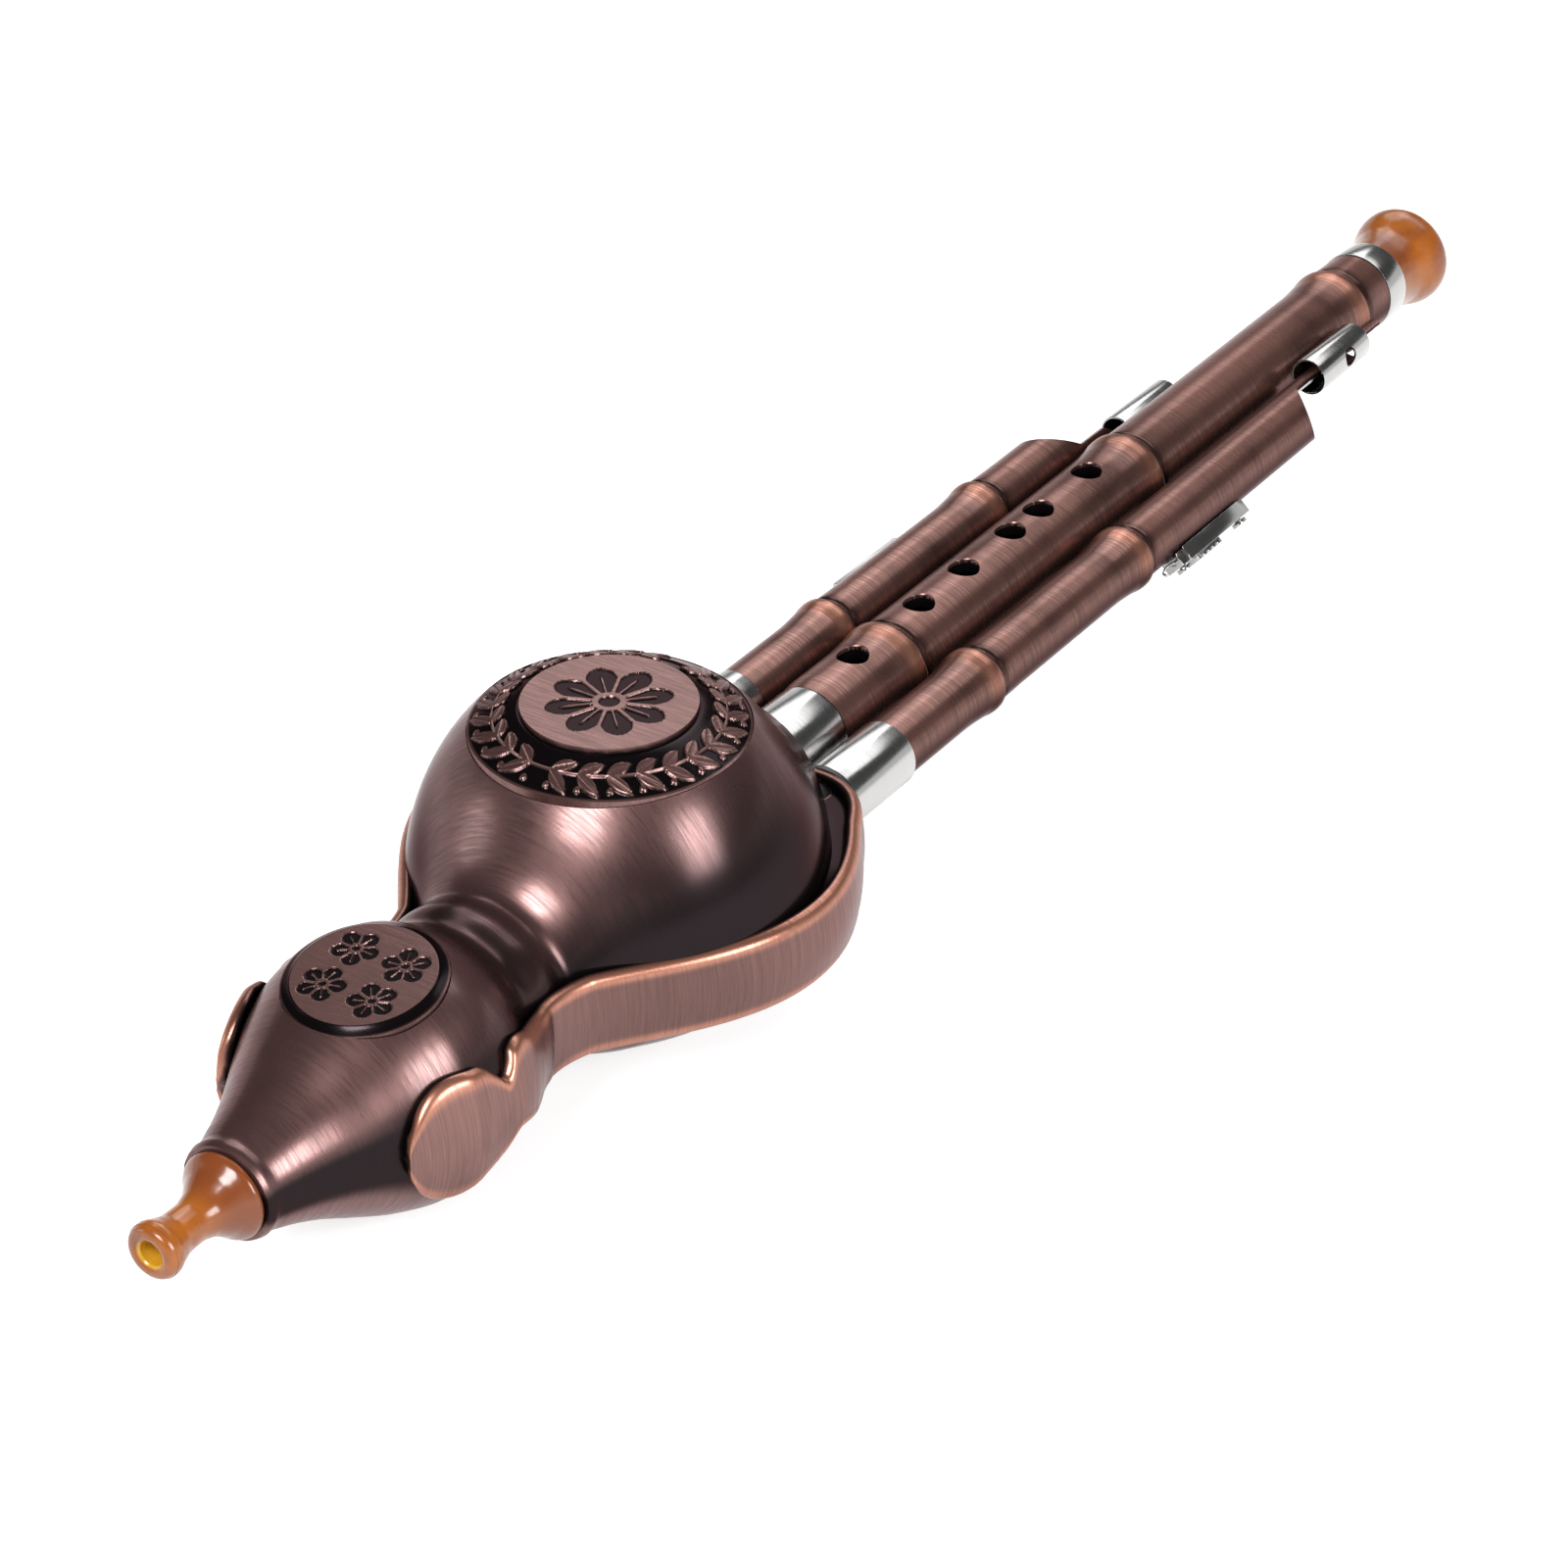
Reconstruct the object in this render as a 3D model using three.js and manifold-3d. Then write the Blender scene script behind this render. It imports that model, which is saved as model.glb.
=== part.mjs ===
// A hulusi: a free-reed gourd pipe with one fingered pipe and two drone pipes.
// Millimetres. The pipes run along Y, the mouthpiece is at -Y, the bell at +Y,
// the finger holes and the front of the gourd face +Z. While the pieces are
// made, the main pipe's axis is the Y axis and y = 0 is at its thumb hole; the
// last lines move everything onto the plane that the gourd's back rests on.
import * as THREE from 'three';
import { mergeVertices } from 'three/addons/utils/BufferGeometryUtils.js';
import Module from 'manifold-3d';

const wasm = await Module();
wasm.setup();

// Clearances
const GAP = 0.3;
const RUNNING_GAP = 0.3;

// Gourd: an upper lobe and a lower lobe, joined at a waist
const NECK_AT = -185.3;
const NECK_RADIUS = 9;
const UPPER_LOBE_AT = -140;
const UPPER_LOBE_RADIUS = 25.2;
const WAIST_AT = -116;
const WAIST_RADIUS = 17.2;
const COLLAR_RADIUS = 18.7;
const COLLAR_LENGTH = 9;
const LOWER_LOBE_AT = -71;
const LOWER_LOBE_RADIUS = 39;
const LOWER_LOBE_HALF_LENGTH = 38;
const LOWER_LOBE_HALF_DEPTH = 46;
const LOWER_LOBE_BACK_DEPTH = 27;
const LOWER_LOBE_BACK_RADIUS = 34;
const LOWER_SKIRT_AT = -66;
const LOWER_SKIRT_RADIUS = 36.5;
const FACE_AT = -27.5;
const FACE_RADIUS = 16.5;
const GOURD_WALL = 2.4;
const FACE_WALL = 5;
const SEAM_GAP = 0.3;
const BACK_FLATNESS = 0.62;
const FACE_FLATNESS = 0.8;

// Raised band that follows the seam round both sides of the gourd
const BAND_STAND = 3.3;
const BAND_END_STAND = 2.2;
const BAND_CROWN = 1.6;
const BAND_HALF_HEIGHT = 8;
const BAND_END_AT = -151.3;
const BAND_END_HALF_LENGTH = 10.6;
const BAND_END_HALF_HEIGHT = 12.4;
const BAND_BUMP_AT = -136.5;
const BAND_BUMP_HALF_HEIGHT = 11.4;
const BAND_NOTCH_HALF_HEIGHT = 6.6;
const BACK_BUMP_HALF_HEIGHT = 6.2;
const BACK_NOTCH_HALF_HEIGHT = 4.8;

// Medallions let into the gourd
const LARGE_MEDALLION_AT = -71.6;
const LARGE_MEDALLION_RADIUS = 26.1;
const LARGE_MEDALLION_EDGE = 34.6;
const LARGE_MEDALLION_TOP = 39.7;
const LARGE_MEDALLION_EDGE_HEIGHT = 1.7;
const LARGE_DISC_RADIUS = 16.4;
const LARGE_DISC_STEP = 1.2;
const BACK_MEDALLION_RADIUS = 14;
const BACK_MEDALLION_DEPTH = 25.6;
const BACK_MEDALLION_THICKNESS = 2.4;
const SMALL_MEDALLION_RADIUS = 14.9;
const SMALL_MEDALLION_AT = -145.3;
const SMALL_MEDALLION_EDGE = 21;
const SMALL_MEDALLION_TILT = THREE.MathUtils.degToRad(9);
const SMALL_MEDALLION_EDGE_HEIGHT = 1.2;
const SMALL_DISC_RADIUS = 13.1;
const SMALL_DISC_STEP = 1.2;

// Mouthpiece
const MOUTHPIECE_LENGTH = 20.4;
const MOUTHPIECE_BASE_RADIUS = 8.5;
const MOUTHPIECE_WAIST_RADIUS = 3.9;
const MOUTHPIECE_TIP_RADIUS = 5.4;
const MOUTHPIECE_BORE_RADIUS = 2.4;
const MOUTHPIECE_TENON_RADIUS = 4.2;
const MOUTHPIECE_TENON_LENGTH = 10;
const SEAL_THICKNESS = 0.7;

// Socket block that holds the three pipes in the gourd's face
const SOCKET_DEPTH = 21;
const SOCKET_WALL = 0.9;
const SOCKET_FLANGE = 1.2;
const FLANGE_STAND = 0.6;
const BRIDGE_HALF_HEIGHT = 4.5;

// Main pipe
const MAIN_RADIUS = 9.05;
const MAIN_NODE_RADIUS = 9.9;
const MAIN_BORE_RADIUS = 6.2;
const MAIN_TENON_RADIUS = 7.3;
const MAIN_FERRULE_RADIUS = 8.85;
const MAIN_FERRULE_LENGTH = 19.7;
const MAIN_NODE_1_AT = 21;
const MAIN_NODE_2_AT = 114;
const MAIN_NODE_3_AT = 205;
const MAIN_END_AT = 223.9;
const FINGER_HOLE_RADIUS = 3.25;
const FINGER_HOLE_1_AT = 98.3;
const FINGER_HOLE_2_AT = 79.1;
const FINGER_HOLE_3_AT = 68.1;
const FINGER_HOLE_4_AT = 50.2;
const FINGER_HOLE_5_AT = 33.4;
const FINGER_HOLE_6_AT = 9.3;
const THUMB_HOLE_AT = 0;

// Bell end
const BELL_FERRULE_LENGTH = 7.2;
const BELL_FERRULE_RADIUS = 9.2;
const BELL_LENGTH = 17.2;
const BELL_RADIUS = 11.3;
const BELL_BORE_RADIUS = 5.2;
const BELL_SPIGOT_LENGTH = 7;

// Drone pipes
const DRONE_SPACING = 17.4;
const DRONE_RADIUS = 6.3;
const DRONE_NODE_RADIUS = 7.2;
const DRONE_BORE_RADIUS = 5.2;
const DRONE_TENON_RADIUS = 4.5;
const DRONE_TENON_BORE_RADIUS = 3.5;
const DRONE_FERRULE_RADIUS = 6.9;
const DRONE_FERRULE_LENGTH = 20.1;
const DRONE_NODE_1_AT = 26.3;
const DRONE_NODE_2_AT = 84.1;
const RIGHT_CUT_AT = 153.4;
const RIGHT_CUT_LENGTH = 14.8;
const RIGHT_CUT_TURN = THREE.MathUtils.degToRad(-114);
const RIGHT_TIP_AT = 197.6;
const RIGHT_SLEEVE_AT = 168.8;
const LEFT_CUT_AT = 107.6;
const LEFT_CUT_LENGTH = 17;
const LEFT_CUT_TURN = THREE.MathUtils.degToRad(145);
const LEFT_TIP_AT = 164;
const LEFT_SLEEVE_AT = 135.6;
const TONGUE_HALF_ANGLE = THREE.MathUtils.degToRad(31.5);
const TONGUE_SHOULDER_HALF_ANGLE = THREE.MathUtils.degToRad(78);
const TONGUE_SHOULDER_RUN = 8;
const RIGHT_TONGUE_TURN = THREE.MathUtils.degToRad(-42);
const LEFT_TONGUE_TURN = THREE.MathUtils.degToRad(138);
const LINER_THICKNESS = 0.5;
const LINER_HALF_ANGLE = THREE.MathUtils.degToRad(27);
const TONE_HOLE_RADIUS = 2;

// Tuning sleeves that slide on the drones' tongues
const SLEEVE_RADIUS = 4.15;
const SLEEVE_WALL = 0.5;
const SLEEVE_LENGTH = 20.6;
const SLEEVE_OFFSET = 4.95;
const SLEEVE_HOLE_RADIUS = 2.2;
const SLEEVE_HOLE_AT = 12;
const SLEEVE_HOLE_TURN = THREE.MathUtils.degToRad(119);

// Slide switches on the drones
const RIGHT_SWITCH_TURN = THREE.MathUtils.degToRad(132);
const LEFT_SWITCH_TURN = THREE.MathUtils.degToRad(-110);
const RIGHT_SWITCH_AT = 109;
const LEFT_SWITCH_AT = 54.5;
const SWITCH_SCREW_SPACING = 23;
const SWITCH_HALF_WIDTH = 3.2;
const SWITCH_END_LENGTH = 4.6;
const SWITCH_END_HALF_WIDTH = 2.5;
const SWITCH_PLATE_TOP = 7.3;
const SWITCH_RAIL_TOP = 9;
const SWITCH_RAIL_WIDTH = 0.7;
const SWITCH_LIP_WIDTH = 0.6;
const SWITCH_LIP_THICKNESS = 0.5;
const SLIDER_LENGTH = 9.5;
const SLIDER_TRAVEL = 6;
const SLIDER_GRIP_HEIGHT = 1.3;
const PAD_LENGTH = 5;
const PAD_WIDTH = 3;
const SCREW_RADIUS = 0.8;
const SCREW_HEAD_RADIUS = 1.7;
const SCREW_HEAD_HEIGHT = 0.9;
const SPRING_WIRE_RADIUS = 0.3;

// Reeds inside the gourd
const REED_HOLDER_WALL = 1.2;
const DRONE_HOLDER_WALL = 0.8;
const MAIN_REED_REACH = 24;
const DRONE_REED_REACH = 22;
const HOLDER_SEAT_DEPTH = 14;
const REED_THICKNESS = 0.4;
const REED_SLIT = 0.35;

// Values that follow from the sizes above
const FERRULE_START = FACE_AT + GAP + SOCKET_FLANGE + GAP;
const MAIN_SOCKET_RADIUS = MAIN_TENON_RADIUS + GAP + SEAL_THICKNESS + RUNNING_GAP;
const DRONE_SOCKET_RADIUS = DRONE_TENON_RADIUS + GAP + SEAL_THICKNESS + RUNNING_GAP;
const FERRULE_WALL = 0.7;
const AXIS_HEIGHT = BACK_MEDALLION_DEPTH;
const MOUTHPIECE_TIP_AT = NECK_AT - GAP - MOUTHPIECE_LENGTH;
const BELL_END_AT = MAIN_END_AT + GAP + BELL_LENGTH;
const MIDDLE = (MOUTHPIECE_TIP_AT + BELL_END_AT) / 2;

const copper = { color: 0x7a4a3a, roughness: 0.38, metalness: 0.85 };
const nickel = { color: 0xb9b7b0, roughness: 0.18, metalness: 1.0 };
const amber = { color: 0xb8621c, roughness: 0.3, metalness: 0.0 };
const dark = { color: 0x1d1a1a, roughness: 0.5, metalness: 0.1 };
const brass = { color: 0xb5934a, roughness: 0.3, metalness: 1.0 };
const cork = { color: 0x8b6a45, roughness: 0.9, metalness: 0.0 };

function point(radius, along) {
  return new THREE.Vector2(radius, along);
}

// A closed solid from a three.js geometry, with its faces turned outwards.
function solid(geometry) {
  const bare = geometry.clone();
  bare.deleteAttribute('normal');
  bare.deleteAttribute('uv');
  const merged = mergeVertices(bare, 1e-4);
  const corners = merged.attributes.position.array;
  const index = merged.index.array;
  const triangles = [];
  let volume = 0;
  const a = new THREE.Vector3();
  const b = new THREE.Vector3();
  const c = new THREE.Vector3();
  for (let i = 0; i < index.length; i += 3) {
    const [p, q, r] = [index[i], index[i + 1], index[i + 2]];
    if (p === q || q === r || r === p) continue;
    triangles.push(p, q, r);
    a.fromArray(corners, 3 * p);
    b.fromArray(corners, 3 * q);
    c.fromArray(corners, 3 * r);
    volume += a.dot(b.cross(c));
  }
  if (volume < 0) triangles.reverse();
  const vertProperties = new Float32Array(corners);
  const triVerts = new Uint32Array(triangles);
  return new wasm.Manifold(new wasm.Mesh({ numProp: 3, vertProperties, triVerts }));
}

function geometryOf(manifold) {
  const mesh = manifold.getMesh();
  const geometry = new THREE.BufferGeometry();
  const positions = new THREE.BufferAttribute(new Float32Array(mesh.vertProperties), 3);
  geometry.setAttribute('position', positions);
  geometry.setIndex(new THREE.BufferAttribute(new Uint32Array(mesh.triVerts), 1));
  geometry.computeVertexNormals();
  return geometry;
}

function piece(name, manifold, look) {
  const mesh = new THREE.Mesh(geometryOf(manifold), new THREE.MeshStandardMaterial(look));
  mesh.name = name;
  return mesh;
}

// Shapes turned about the Y axis
function turned(points, segments) {
  return solid(new THREE.LatheGeometry([...points, points[0]], segments));
}

function rod(radius, from, to, segments = 24) {
  return turned([point(0, from), point(radius, from), point(radius, to), point(0, to)], segments);
}

function tube(inner, outer, from, to, segments = 24) {
  const corners = [point(inner, from), point(outer, from), point(outer, to), point(inner, to)];
  return turned(corners, segments);
}

function box(width, length, height, x, y, z) {
  return solid(new THREE.BoxGeometry(width, length, height).translate(x, y, z));
}

// A pin along Z from one height to another, at a place on the XY plane
function pin(radius, x, y, from, to, segments = 16) {
  const geometry = new THREE.CylinderGeometry(radius, radius, to - from, segments);
  geometry.rotateX(Math.PI / 2);
  geometry.translate(x, y, (from + to) / 2);
  return solid(geometry);
}

// A flat shape in XY given thickness along Z, centred on z = 0
function slab(shape, thickness) {
  const options = { depth: thickness, bevelEnabled: false, curveSegments: 10 };
  return solid(new THREE.ExtrudeGeometry(shape, options).translate(0, 0, -thickness / 2));
}

// A shape whose first coordinate is Z and second is Y, given width along X
function sideSlab(shape, width) {
  const options = { depth: width, bevelEnabled: false, curveSegments: 10 };
  const geometry = new THREE.ExtrudeGeometry(shape, options);
  geometry.translate(0, 0, -width / 2);
  geometry.rotateY(-Math.PI / 2);
  return solid(geometry);
}

// A closed outline made of one side's points and their mirror image
function mirroredShape(points) {
  const back = points.slice().reverse().map((p) => new THREE.Vector2(-p.x, p.y));
  return new THREE.Shape([...points, ...back]);
}

// The gourd's outline as it is turned, less a wall thickness
function gourdProfile(inset, divisions) {
  const neck = NECK_RADIUS - inset;
  const upper = UPPER_LOBE_RADIUS - inset;
  const waist = WAIST_RADIUS - inset;
  const skirt = LOWER_SKIRT_RADIUS - inset;
  const face = FACE_RADIUS - inset;
  const neckRun = (UPPER_LOBE_AT - NECK_AT) / 3;
  const upperRun = (WAIST_AT - UPPER_LOBE_AT) * 0.42;
  const lowerRun = (LOWER_SKIRT_AT - WAIST_AT) * 0.4;
  const faceRun = (FACE_AT - LOWER_SKIRT_AT) * 0.45;
  const path = new THREE.Path();
  path.moveTo(neck, NECK_AT);
  path.bezierCurveTo(neck + 0.2 * (upper - neck), NECK_AT + 1.15 * neckRun,
    upper, UPPER_LOBE_AT - neckRun, upper, UPPER_LOBE_AT);
  path.bezierCurveTo(upper, UPPER_LOBE_AT + upperRun,
    waist, WAIST_AT - upperRun, waist, WAIST_AT);
  path.bezierCurveTo(waist, WAIST_AT + lowerRun * 0.6,
    skirt, LOWER_SKIRT_AT - lowerRun, skirt, LOWER_SKIRT_AT);
  path.bezierCurveTo(skirt, LOWER_SKIRT_AT + faceRun,
    face + (skirt - face) * 0.42, FACE_AT - faceRun * 0.5, face, FACE_AT);
  return path.getPoints(divisions);
}

// Share of its depth that the gourd's back keeps at a place along the axis
function backDepth(along) {
  const step = THREE.MathUtils.smoothstep;
  const upper = step(along, UPPER_LOBE_AT, LOWER_LOBE_AT);
  const lower = step(along, LOWER_LOBE_AT, FACE_AT);
  return 1 + (BACK_FLATNESS - 1) * upper + (FACE_FLATNESS - BACK_FLATNESS) * lower;
}

function flattenBack(geometry, share) {
  const place = geometry.attributes.position;
  for (let i = 0; i < place.count; i += 1) {
    if (place.getZ(i) < 0) place.setZ(i, place.getZ(i) * share(place.getY(i)));
  }
  return geometry;
}

function turnedBody(points, segments) {
  return solid(flattenBack(new THREE.LatheGeometry([...points, points[0]], segments), backDepth));
}

// Deep dome at the front, and a narrower, shallower one at the back
function lowerLobe(inset, across, along) {
  const length = LOWER_LOBE_HALF_LENGTH - inset;
  const front = new THREE.SphereGeometry(1, across, along);
  front.scale(LOWER_LOBE_RADIUS - inset, length, LOWER_LOBE_HALF_DEPTH - inset);
  flattenBack(front, () => 0.4);
  const back = new THREE.SphereGeometry(1, across, along);
  const backRadius = LOWER_LOBE_BACK_RADIUS - inset;
  back.scale(backRadius, backRadius, LOWER_LOBE_BACK_DEPTH - inset);
  front.translate(0, LOWER_LOBE_AT, 0);
  back.translate(0, LOWER_LOBE_AT, 0);
  return solid(front).add(solid(back));
}

// The rounded ring round the gourd's waist
function waistCollar() {
  const half = COLLAR_LENGTH / 2;
  const path = new THREE.Path();
  path.moveTo(0, WAIST_AT - half);
  path.lineTo(WAIST_RADIUS - 1, WAIST_AT - half);
  path.bezierCurveTo(COLLAR_RADIUS, WAIST_AT - half,
    COLLAR_RADIUS, WAIST_AT - half / 2, COLLAR_RADIUS, WAIST_AT);
  path.bezierCurveTo(COLLAR_RADIUS, WAIST_AT + half / 2,
    COLLAR_RADIUS, WAIST_AT + half, WAIST_RADIUS - 1, WAIST_AT + half);
  path.lineTo(0, WAIST_AT + half);
  return turnedBody(path.getPoints(3), 36);
}

// The band round the lower lobe and waist, widest at the seam
function lowerBand() {
  const waist = WAIST_RADIUS + BAND_STAND;
  const widest = LOWER_LOBE_RADIUS + BAND_STAND;
  const corner = DRONE_SPACING + DRONE_SOCKET_RADIUS;
  const skirtToFace = FACE_AT - LOWER_SKIRT_AT;
  const waistToSkirt = LOWER_SKIRT_AT - WAIST_AT;
  const path = new THREE.Path();
  path.moveTo(0.01, FACE_AT);
  path.lineTo(corner - 5.5, FACE_AT);
  path.bezierCurveTo(corner + 4, FACE_AT, corner + 7.6, FACE_AT - 0.19 * skirtToFace,
    corner + 10, FACE_AT - 0.3 * skirtToFace);
  path.bezierCurveTo(widest - 4.2, FACE_AT - 0.52 * skirtToFace, widest, FACE_AT - 0.74 * skirtToFace,
    widest, LOWER_SKIRT_AT);
  path.bezierCurveTo(widest, LOWER_SKIRT_AT - 0.38 * waistToSkirt, waist + 8.5,
    LOWER_SKIRT_AT - 0.64 * waistToSkirt, waist + 1.5, LOWER_SKIRT_AT - 0.85 * waistToSkirt);
  path.bezierCurveTo(waist - 0.4, WAIST_AT + 5, waist - 0.8, WAIST_AT + 2, waist, WAIST_AT - 2);
  path.lineTo(waist + 0.8, WAIST_AT - 5);
  path.lineTo(0.01, WAIST_AT - 5);
  const options = { depth: 2 * BAND_HALF_HEIGHT + 1, steps: 5, bevelEnabled: false };
  const strip = new THREE.ExtrudeGeometry(mirroredShape(path.getPoints(6)), options);
  strip.translate(0, 0, -options.depth / 2);
  const place = strip.attributes.position;
  for (let i = 0; i < place.count; i += 1) {
    const share = Math.min(1, Math.abs(place.getZ(i)) / BAND_HALF_HEIGHT);
    place.setX(i, place.getX(i) * (1 + (BAND_CROWN / widest) * (1 - share * share)));
  }
  return solid(strip);
}

// The band seen from the side: a rounded end, a notch, a bump and a long strip. The back of it
// has a smaller bump and a deeper notch than the front.
function bandSide(side) {
  const path = new THREE.Path();
  const strip = BAND_HALF_HEIGHT;
  const bump = side > 0 ? BAND_BUMP_HALF_HEIGHT : BACK_BUMP_HALF_HEIGHT;
  const notch = side > 0 ? BAND_NOTCH_HALF_HEIGHT : BACK_NOTCH_HALF_HEIGHT;
  const notchAt = (BAND_END_AT + BAND_END_HALF_LENGTH + BAND_BUMP_AT) / 2 - 1.5;
  path.moveTo(strip, FACE_AT);
  path.lineTo(strip, WAIST_AT - 6);
  path.bezierCurveTo(strip - 0.5, WAIST_AT - 11, bump, WAIST_AT - 12, bump, BAND_BUMP_AT);
  path.bezierCurveTo(bump - 1, BAND_BUMP_AT - 3, notch, BAND_BUMP_AT - 3, notch, notchAt);
  path.bezierCurveTo(notch, notchAt - 2,
    BAND_END_HALF_HEIGHT, notchAt - 4, BAND_END_HALF_HEIGHT, BAND_END_AT);
  path.bezierCurveTo(BAND_END_HALF_HEIGHT, BAND_END_AT - 0.55 * BAND_END_HALF_LENGTH,
    0.55 * BAND_END_HALF_HEIGHT, BAND_END_AT - BAND_END_HALF_LENGTH,
    0.01, BAND_END_AT - BAND_END_HALF_LENGTH);
  return mirroredShape(path.getPoints(5));
}

function gourdOutside(side) {
  const profile = [point(0, NECK_AT), ...gourdProfile(0, 6), point(0, FACE_AT)];
  const reach = 2 * (LOWER_LOBE_RADIUS + 2 * BAND_STAND);
  const offset = gourdProfile(-BAND_STAND, 6).filter((p) => p.y < WAIST_AT);
  const sides = box(2 * (UPPER_LOBE_RADIUS + BAND_END_STAND), 2 * (FACE_AT - NECK_AT), reach,
    0, (FACE_AT + NECK_AT) / 2, 0);
  const upper = turned([point(0, NECK_AT), ...offset, point(0, offset.at(-1).y)], 48);
  const strips = upper.intersect(sides).add(lowerBand());
  const band = strips.intersect(sideSlab(bandSide(side), reach));
  return turnedBody(profile, 36).add(lowerLobe(0, 36, 18)).add(waistCollar()).add(band);
}

function gourdCavity() {
  const inner = gourdProfile(GOURD_WALL, 4);
  const profile = [point(0, NECK_AT), ...inner, point(0, FACE_AT)];
  const start = NECK_AT + MOUTHPIECE_TENON_LENGTH;
  const end = FACE_AT - FACE_WALL;
  const top = medallionFloor() - GOURD_WALL;
  const bottom = -(backFloor() - GOURD_WALL);
  const limits = box(4 * LOWER_LOBE_RADIUS, end - start, top - bottom, 0, (start + end) / 2, (top + bottom) / 2);
  const neckBore = MOUTHPIECE_TENON_RADIUS + GAP + SEAL_THICKNESS + GAP;
  const hollow = turnedBody(profile, 22).add(lowerLobe(GOURD_WALL, 22, 12)).intersect(limits);
  return hollow.add(rod(neckBore, NECK_AT - 1, start + 2, 24));
}

function medallionFloor() {
  return LARGE_MEDALLION_EDGE - LARGE_MEDALLION_EDGE_HEIGHT - GAP;
}

function backFloor() {
  return BACK_MEDALLION_DEPTH - BACK_MEDALLION_THICKNESS - GAP;
}

// Round pocket for the large medallion, open to the front
function largePocket() {
  const radius = LARGE_MEDALLION_RADIUS + GAP;
  return pin(radius, 0, LARGE_MEDALLION_AT, medallionFloor(), LOWER_LOBE_HALF_DEPTH + 1, 44);
}

// Round pocket for the back medallion
function backPocket() {
  const radius = BACK_MEDALLION_RADIUS + GAP;
  return pin(radius, 0, LARGE_MEDALLION_AT, -LOWER_LOBE_BACK_DEPTH - 1, -backFloor(), 36);
}

function smallPocket() {
  const pocket = new THREE.CylinderGeometry(1, 1, 1, 36);
  const radius = SMALL_MEDALLION_RADIUS + GAP;
  const depth = UPPER_LOBE_RADIUS - SMALL_MEDALLION_EDGE + 3;
  pocket.rotateX(Math.PI / 2);
  pocket.scale(radius, radius, depth);
  pocket.translate(0, 0, depth / 2 - SMALL_MEDALLION_EDGE_HEIGHT - GAP);
  pocket.rotateX(SMALL_MEDALLION_TILT);
  pocket.translate(0, SMALL_MEDALLION_AT, SMALL_MEDALLION_EDGE);
  return solid(pocket);
}

// Room in the face for the socket block
function socketRoom() {
  return socketBody(GAP, FACE_AT - SOCKET_DEPTH - GAP, FACE_AT + 1);
}

function socketBody(extra, from, to) {
  const main = rod(MAIN_SOCKET_RADIUS + SOCKET_WALL + extra, from, to, 28);
  const side = DRONE_SOCKET_RADIUS + SOCKET_WALL + extra;
  const left = solid(latheRod(side, from, to).translate(-DRONE_SPACING, 0, 0));
  const right = solid(latheRod(side, from, to).translate(DRONE_SPACING, 0, 0));
  const bridge = box(2 * DRONE_SPACING, to - from, 2 * (BRIDGE_HALF_HEIGHT + extra),
    0, (from + to) / 2, 0);
  return main.add(left).add(right).add(bridge);
}

function latheRod(radius, from, to) {
  const profile = [point(0, from), point(radius, from), point(radius, to), point(0, to)];
  return new THREE.LatheGeometry(profile, 24);
}

function gourdShell(side) {
  const depth = 2 * LOWER_LOBE_HALF_DEPTH;
  const half = box(4 * LOWER_LOBE_RADIUS, 2 * (FACE_AT - NECK_AT), depth,
    0, (FACE_AT + NECK_AT) / 2, side * (depth + SEAM_GAP) / 2);
  const shell = gourdOutside(side).subtract(gourdCavity()).subtract(socketRoom()).intersect(half);
  if (side > 0) return shell.subtract(largePocket()).subtract(smallPocket());
  return shell.subtract(backPocket());
}

// A disc let into the gourd: a sloping ring round a raised middle
function largeMedallion() {
  const base = LARGE_MEDALLION_EDGE - LARGE_MEDALLION_EDGE_HEIGHT;
  const profile = [
    point(0, base),
    point(LARGE_MEDALLION_RADIUS, base),
    point(LARGE_MEDALLION_RADIUS, LARGE_MEDALLION_EDGE),
    point(LARGE_DISC_RADIUS + 0.5, LARGE_MEDALLION_TOP - LARGE_DISC_STEP),
    point(LARGE_DISC_RADIUS, LARGE_MEDALLION_TOP),
    point(0, LARGE_MEDALLION_TOP),
  ];
  const geometry = new THREE.LatheGeometry(profile, 44);
  geometry.rotateX(Math.PI / 2);
  geometry.translate(0, LARGE_MEDALLION_AT, 0);
  return solid(geometry);
}

// Plain flat disc on the back, which the gourd rests on
function backMedallion() {
  const top = BACK_MEDALLION_THICKNESS - BACK_MEDALLION_DEPTH;
  return pin(BACK_MEDALLION_RADIUS, 0, LARGE_MEDALLION_AT, -BACK_MEDALLION_DEPTH, top, 36);
}

function smallMedallion() {
  const profile = [
    point(0, -SMALL_MEDALLION_EDGE_HEIGHT),
    point(SMALL_MEDALLION_RADIUS, -SMALL_MEDALLION_EDGE_HEIGHT),
    point(SMALL_MEDALLION_RADIUS, 0),
    point(SMALL_DISC_RADIUS, SMALL_DISC_STEP),
    point(0, SMALL_DISC_STEP),
  ];
  const geometry = new THREE.LatheGeometry(profile, 36);
  geometry.rotateX(Math.PI / 2 + SMALL_MEDALLION_TILT);
  geometry.translate(0, SMALL_MEDALLION_AT, SMALL_MEDALLION_EDGE);
  return solid(geometry);
}

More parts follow.
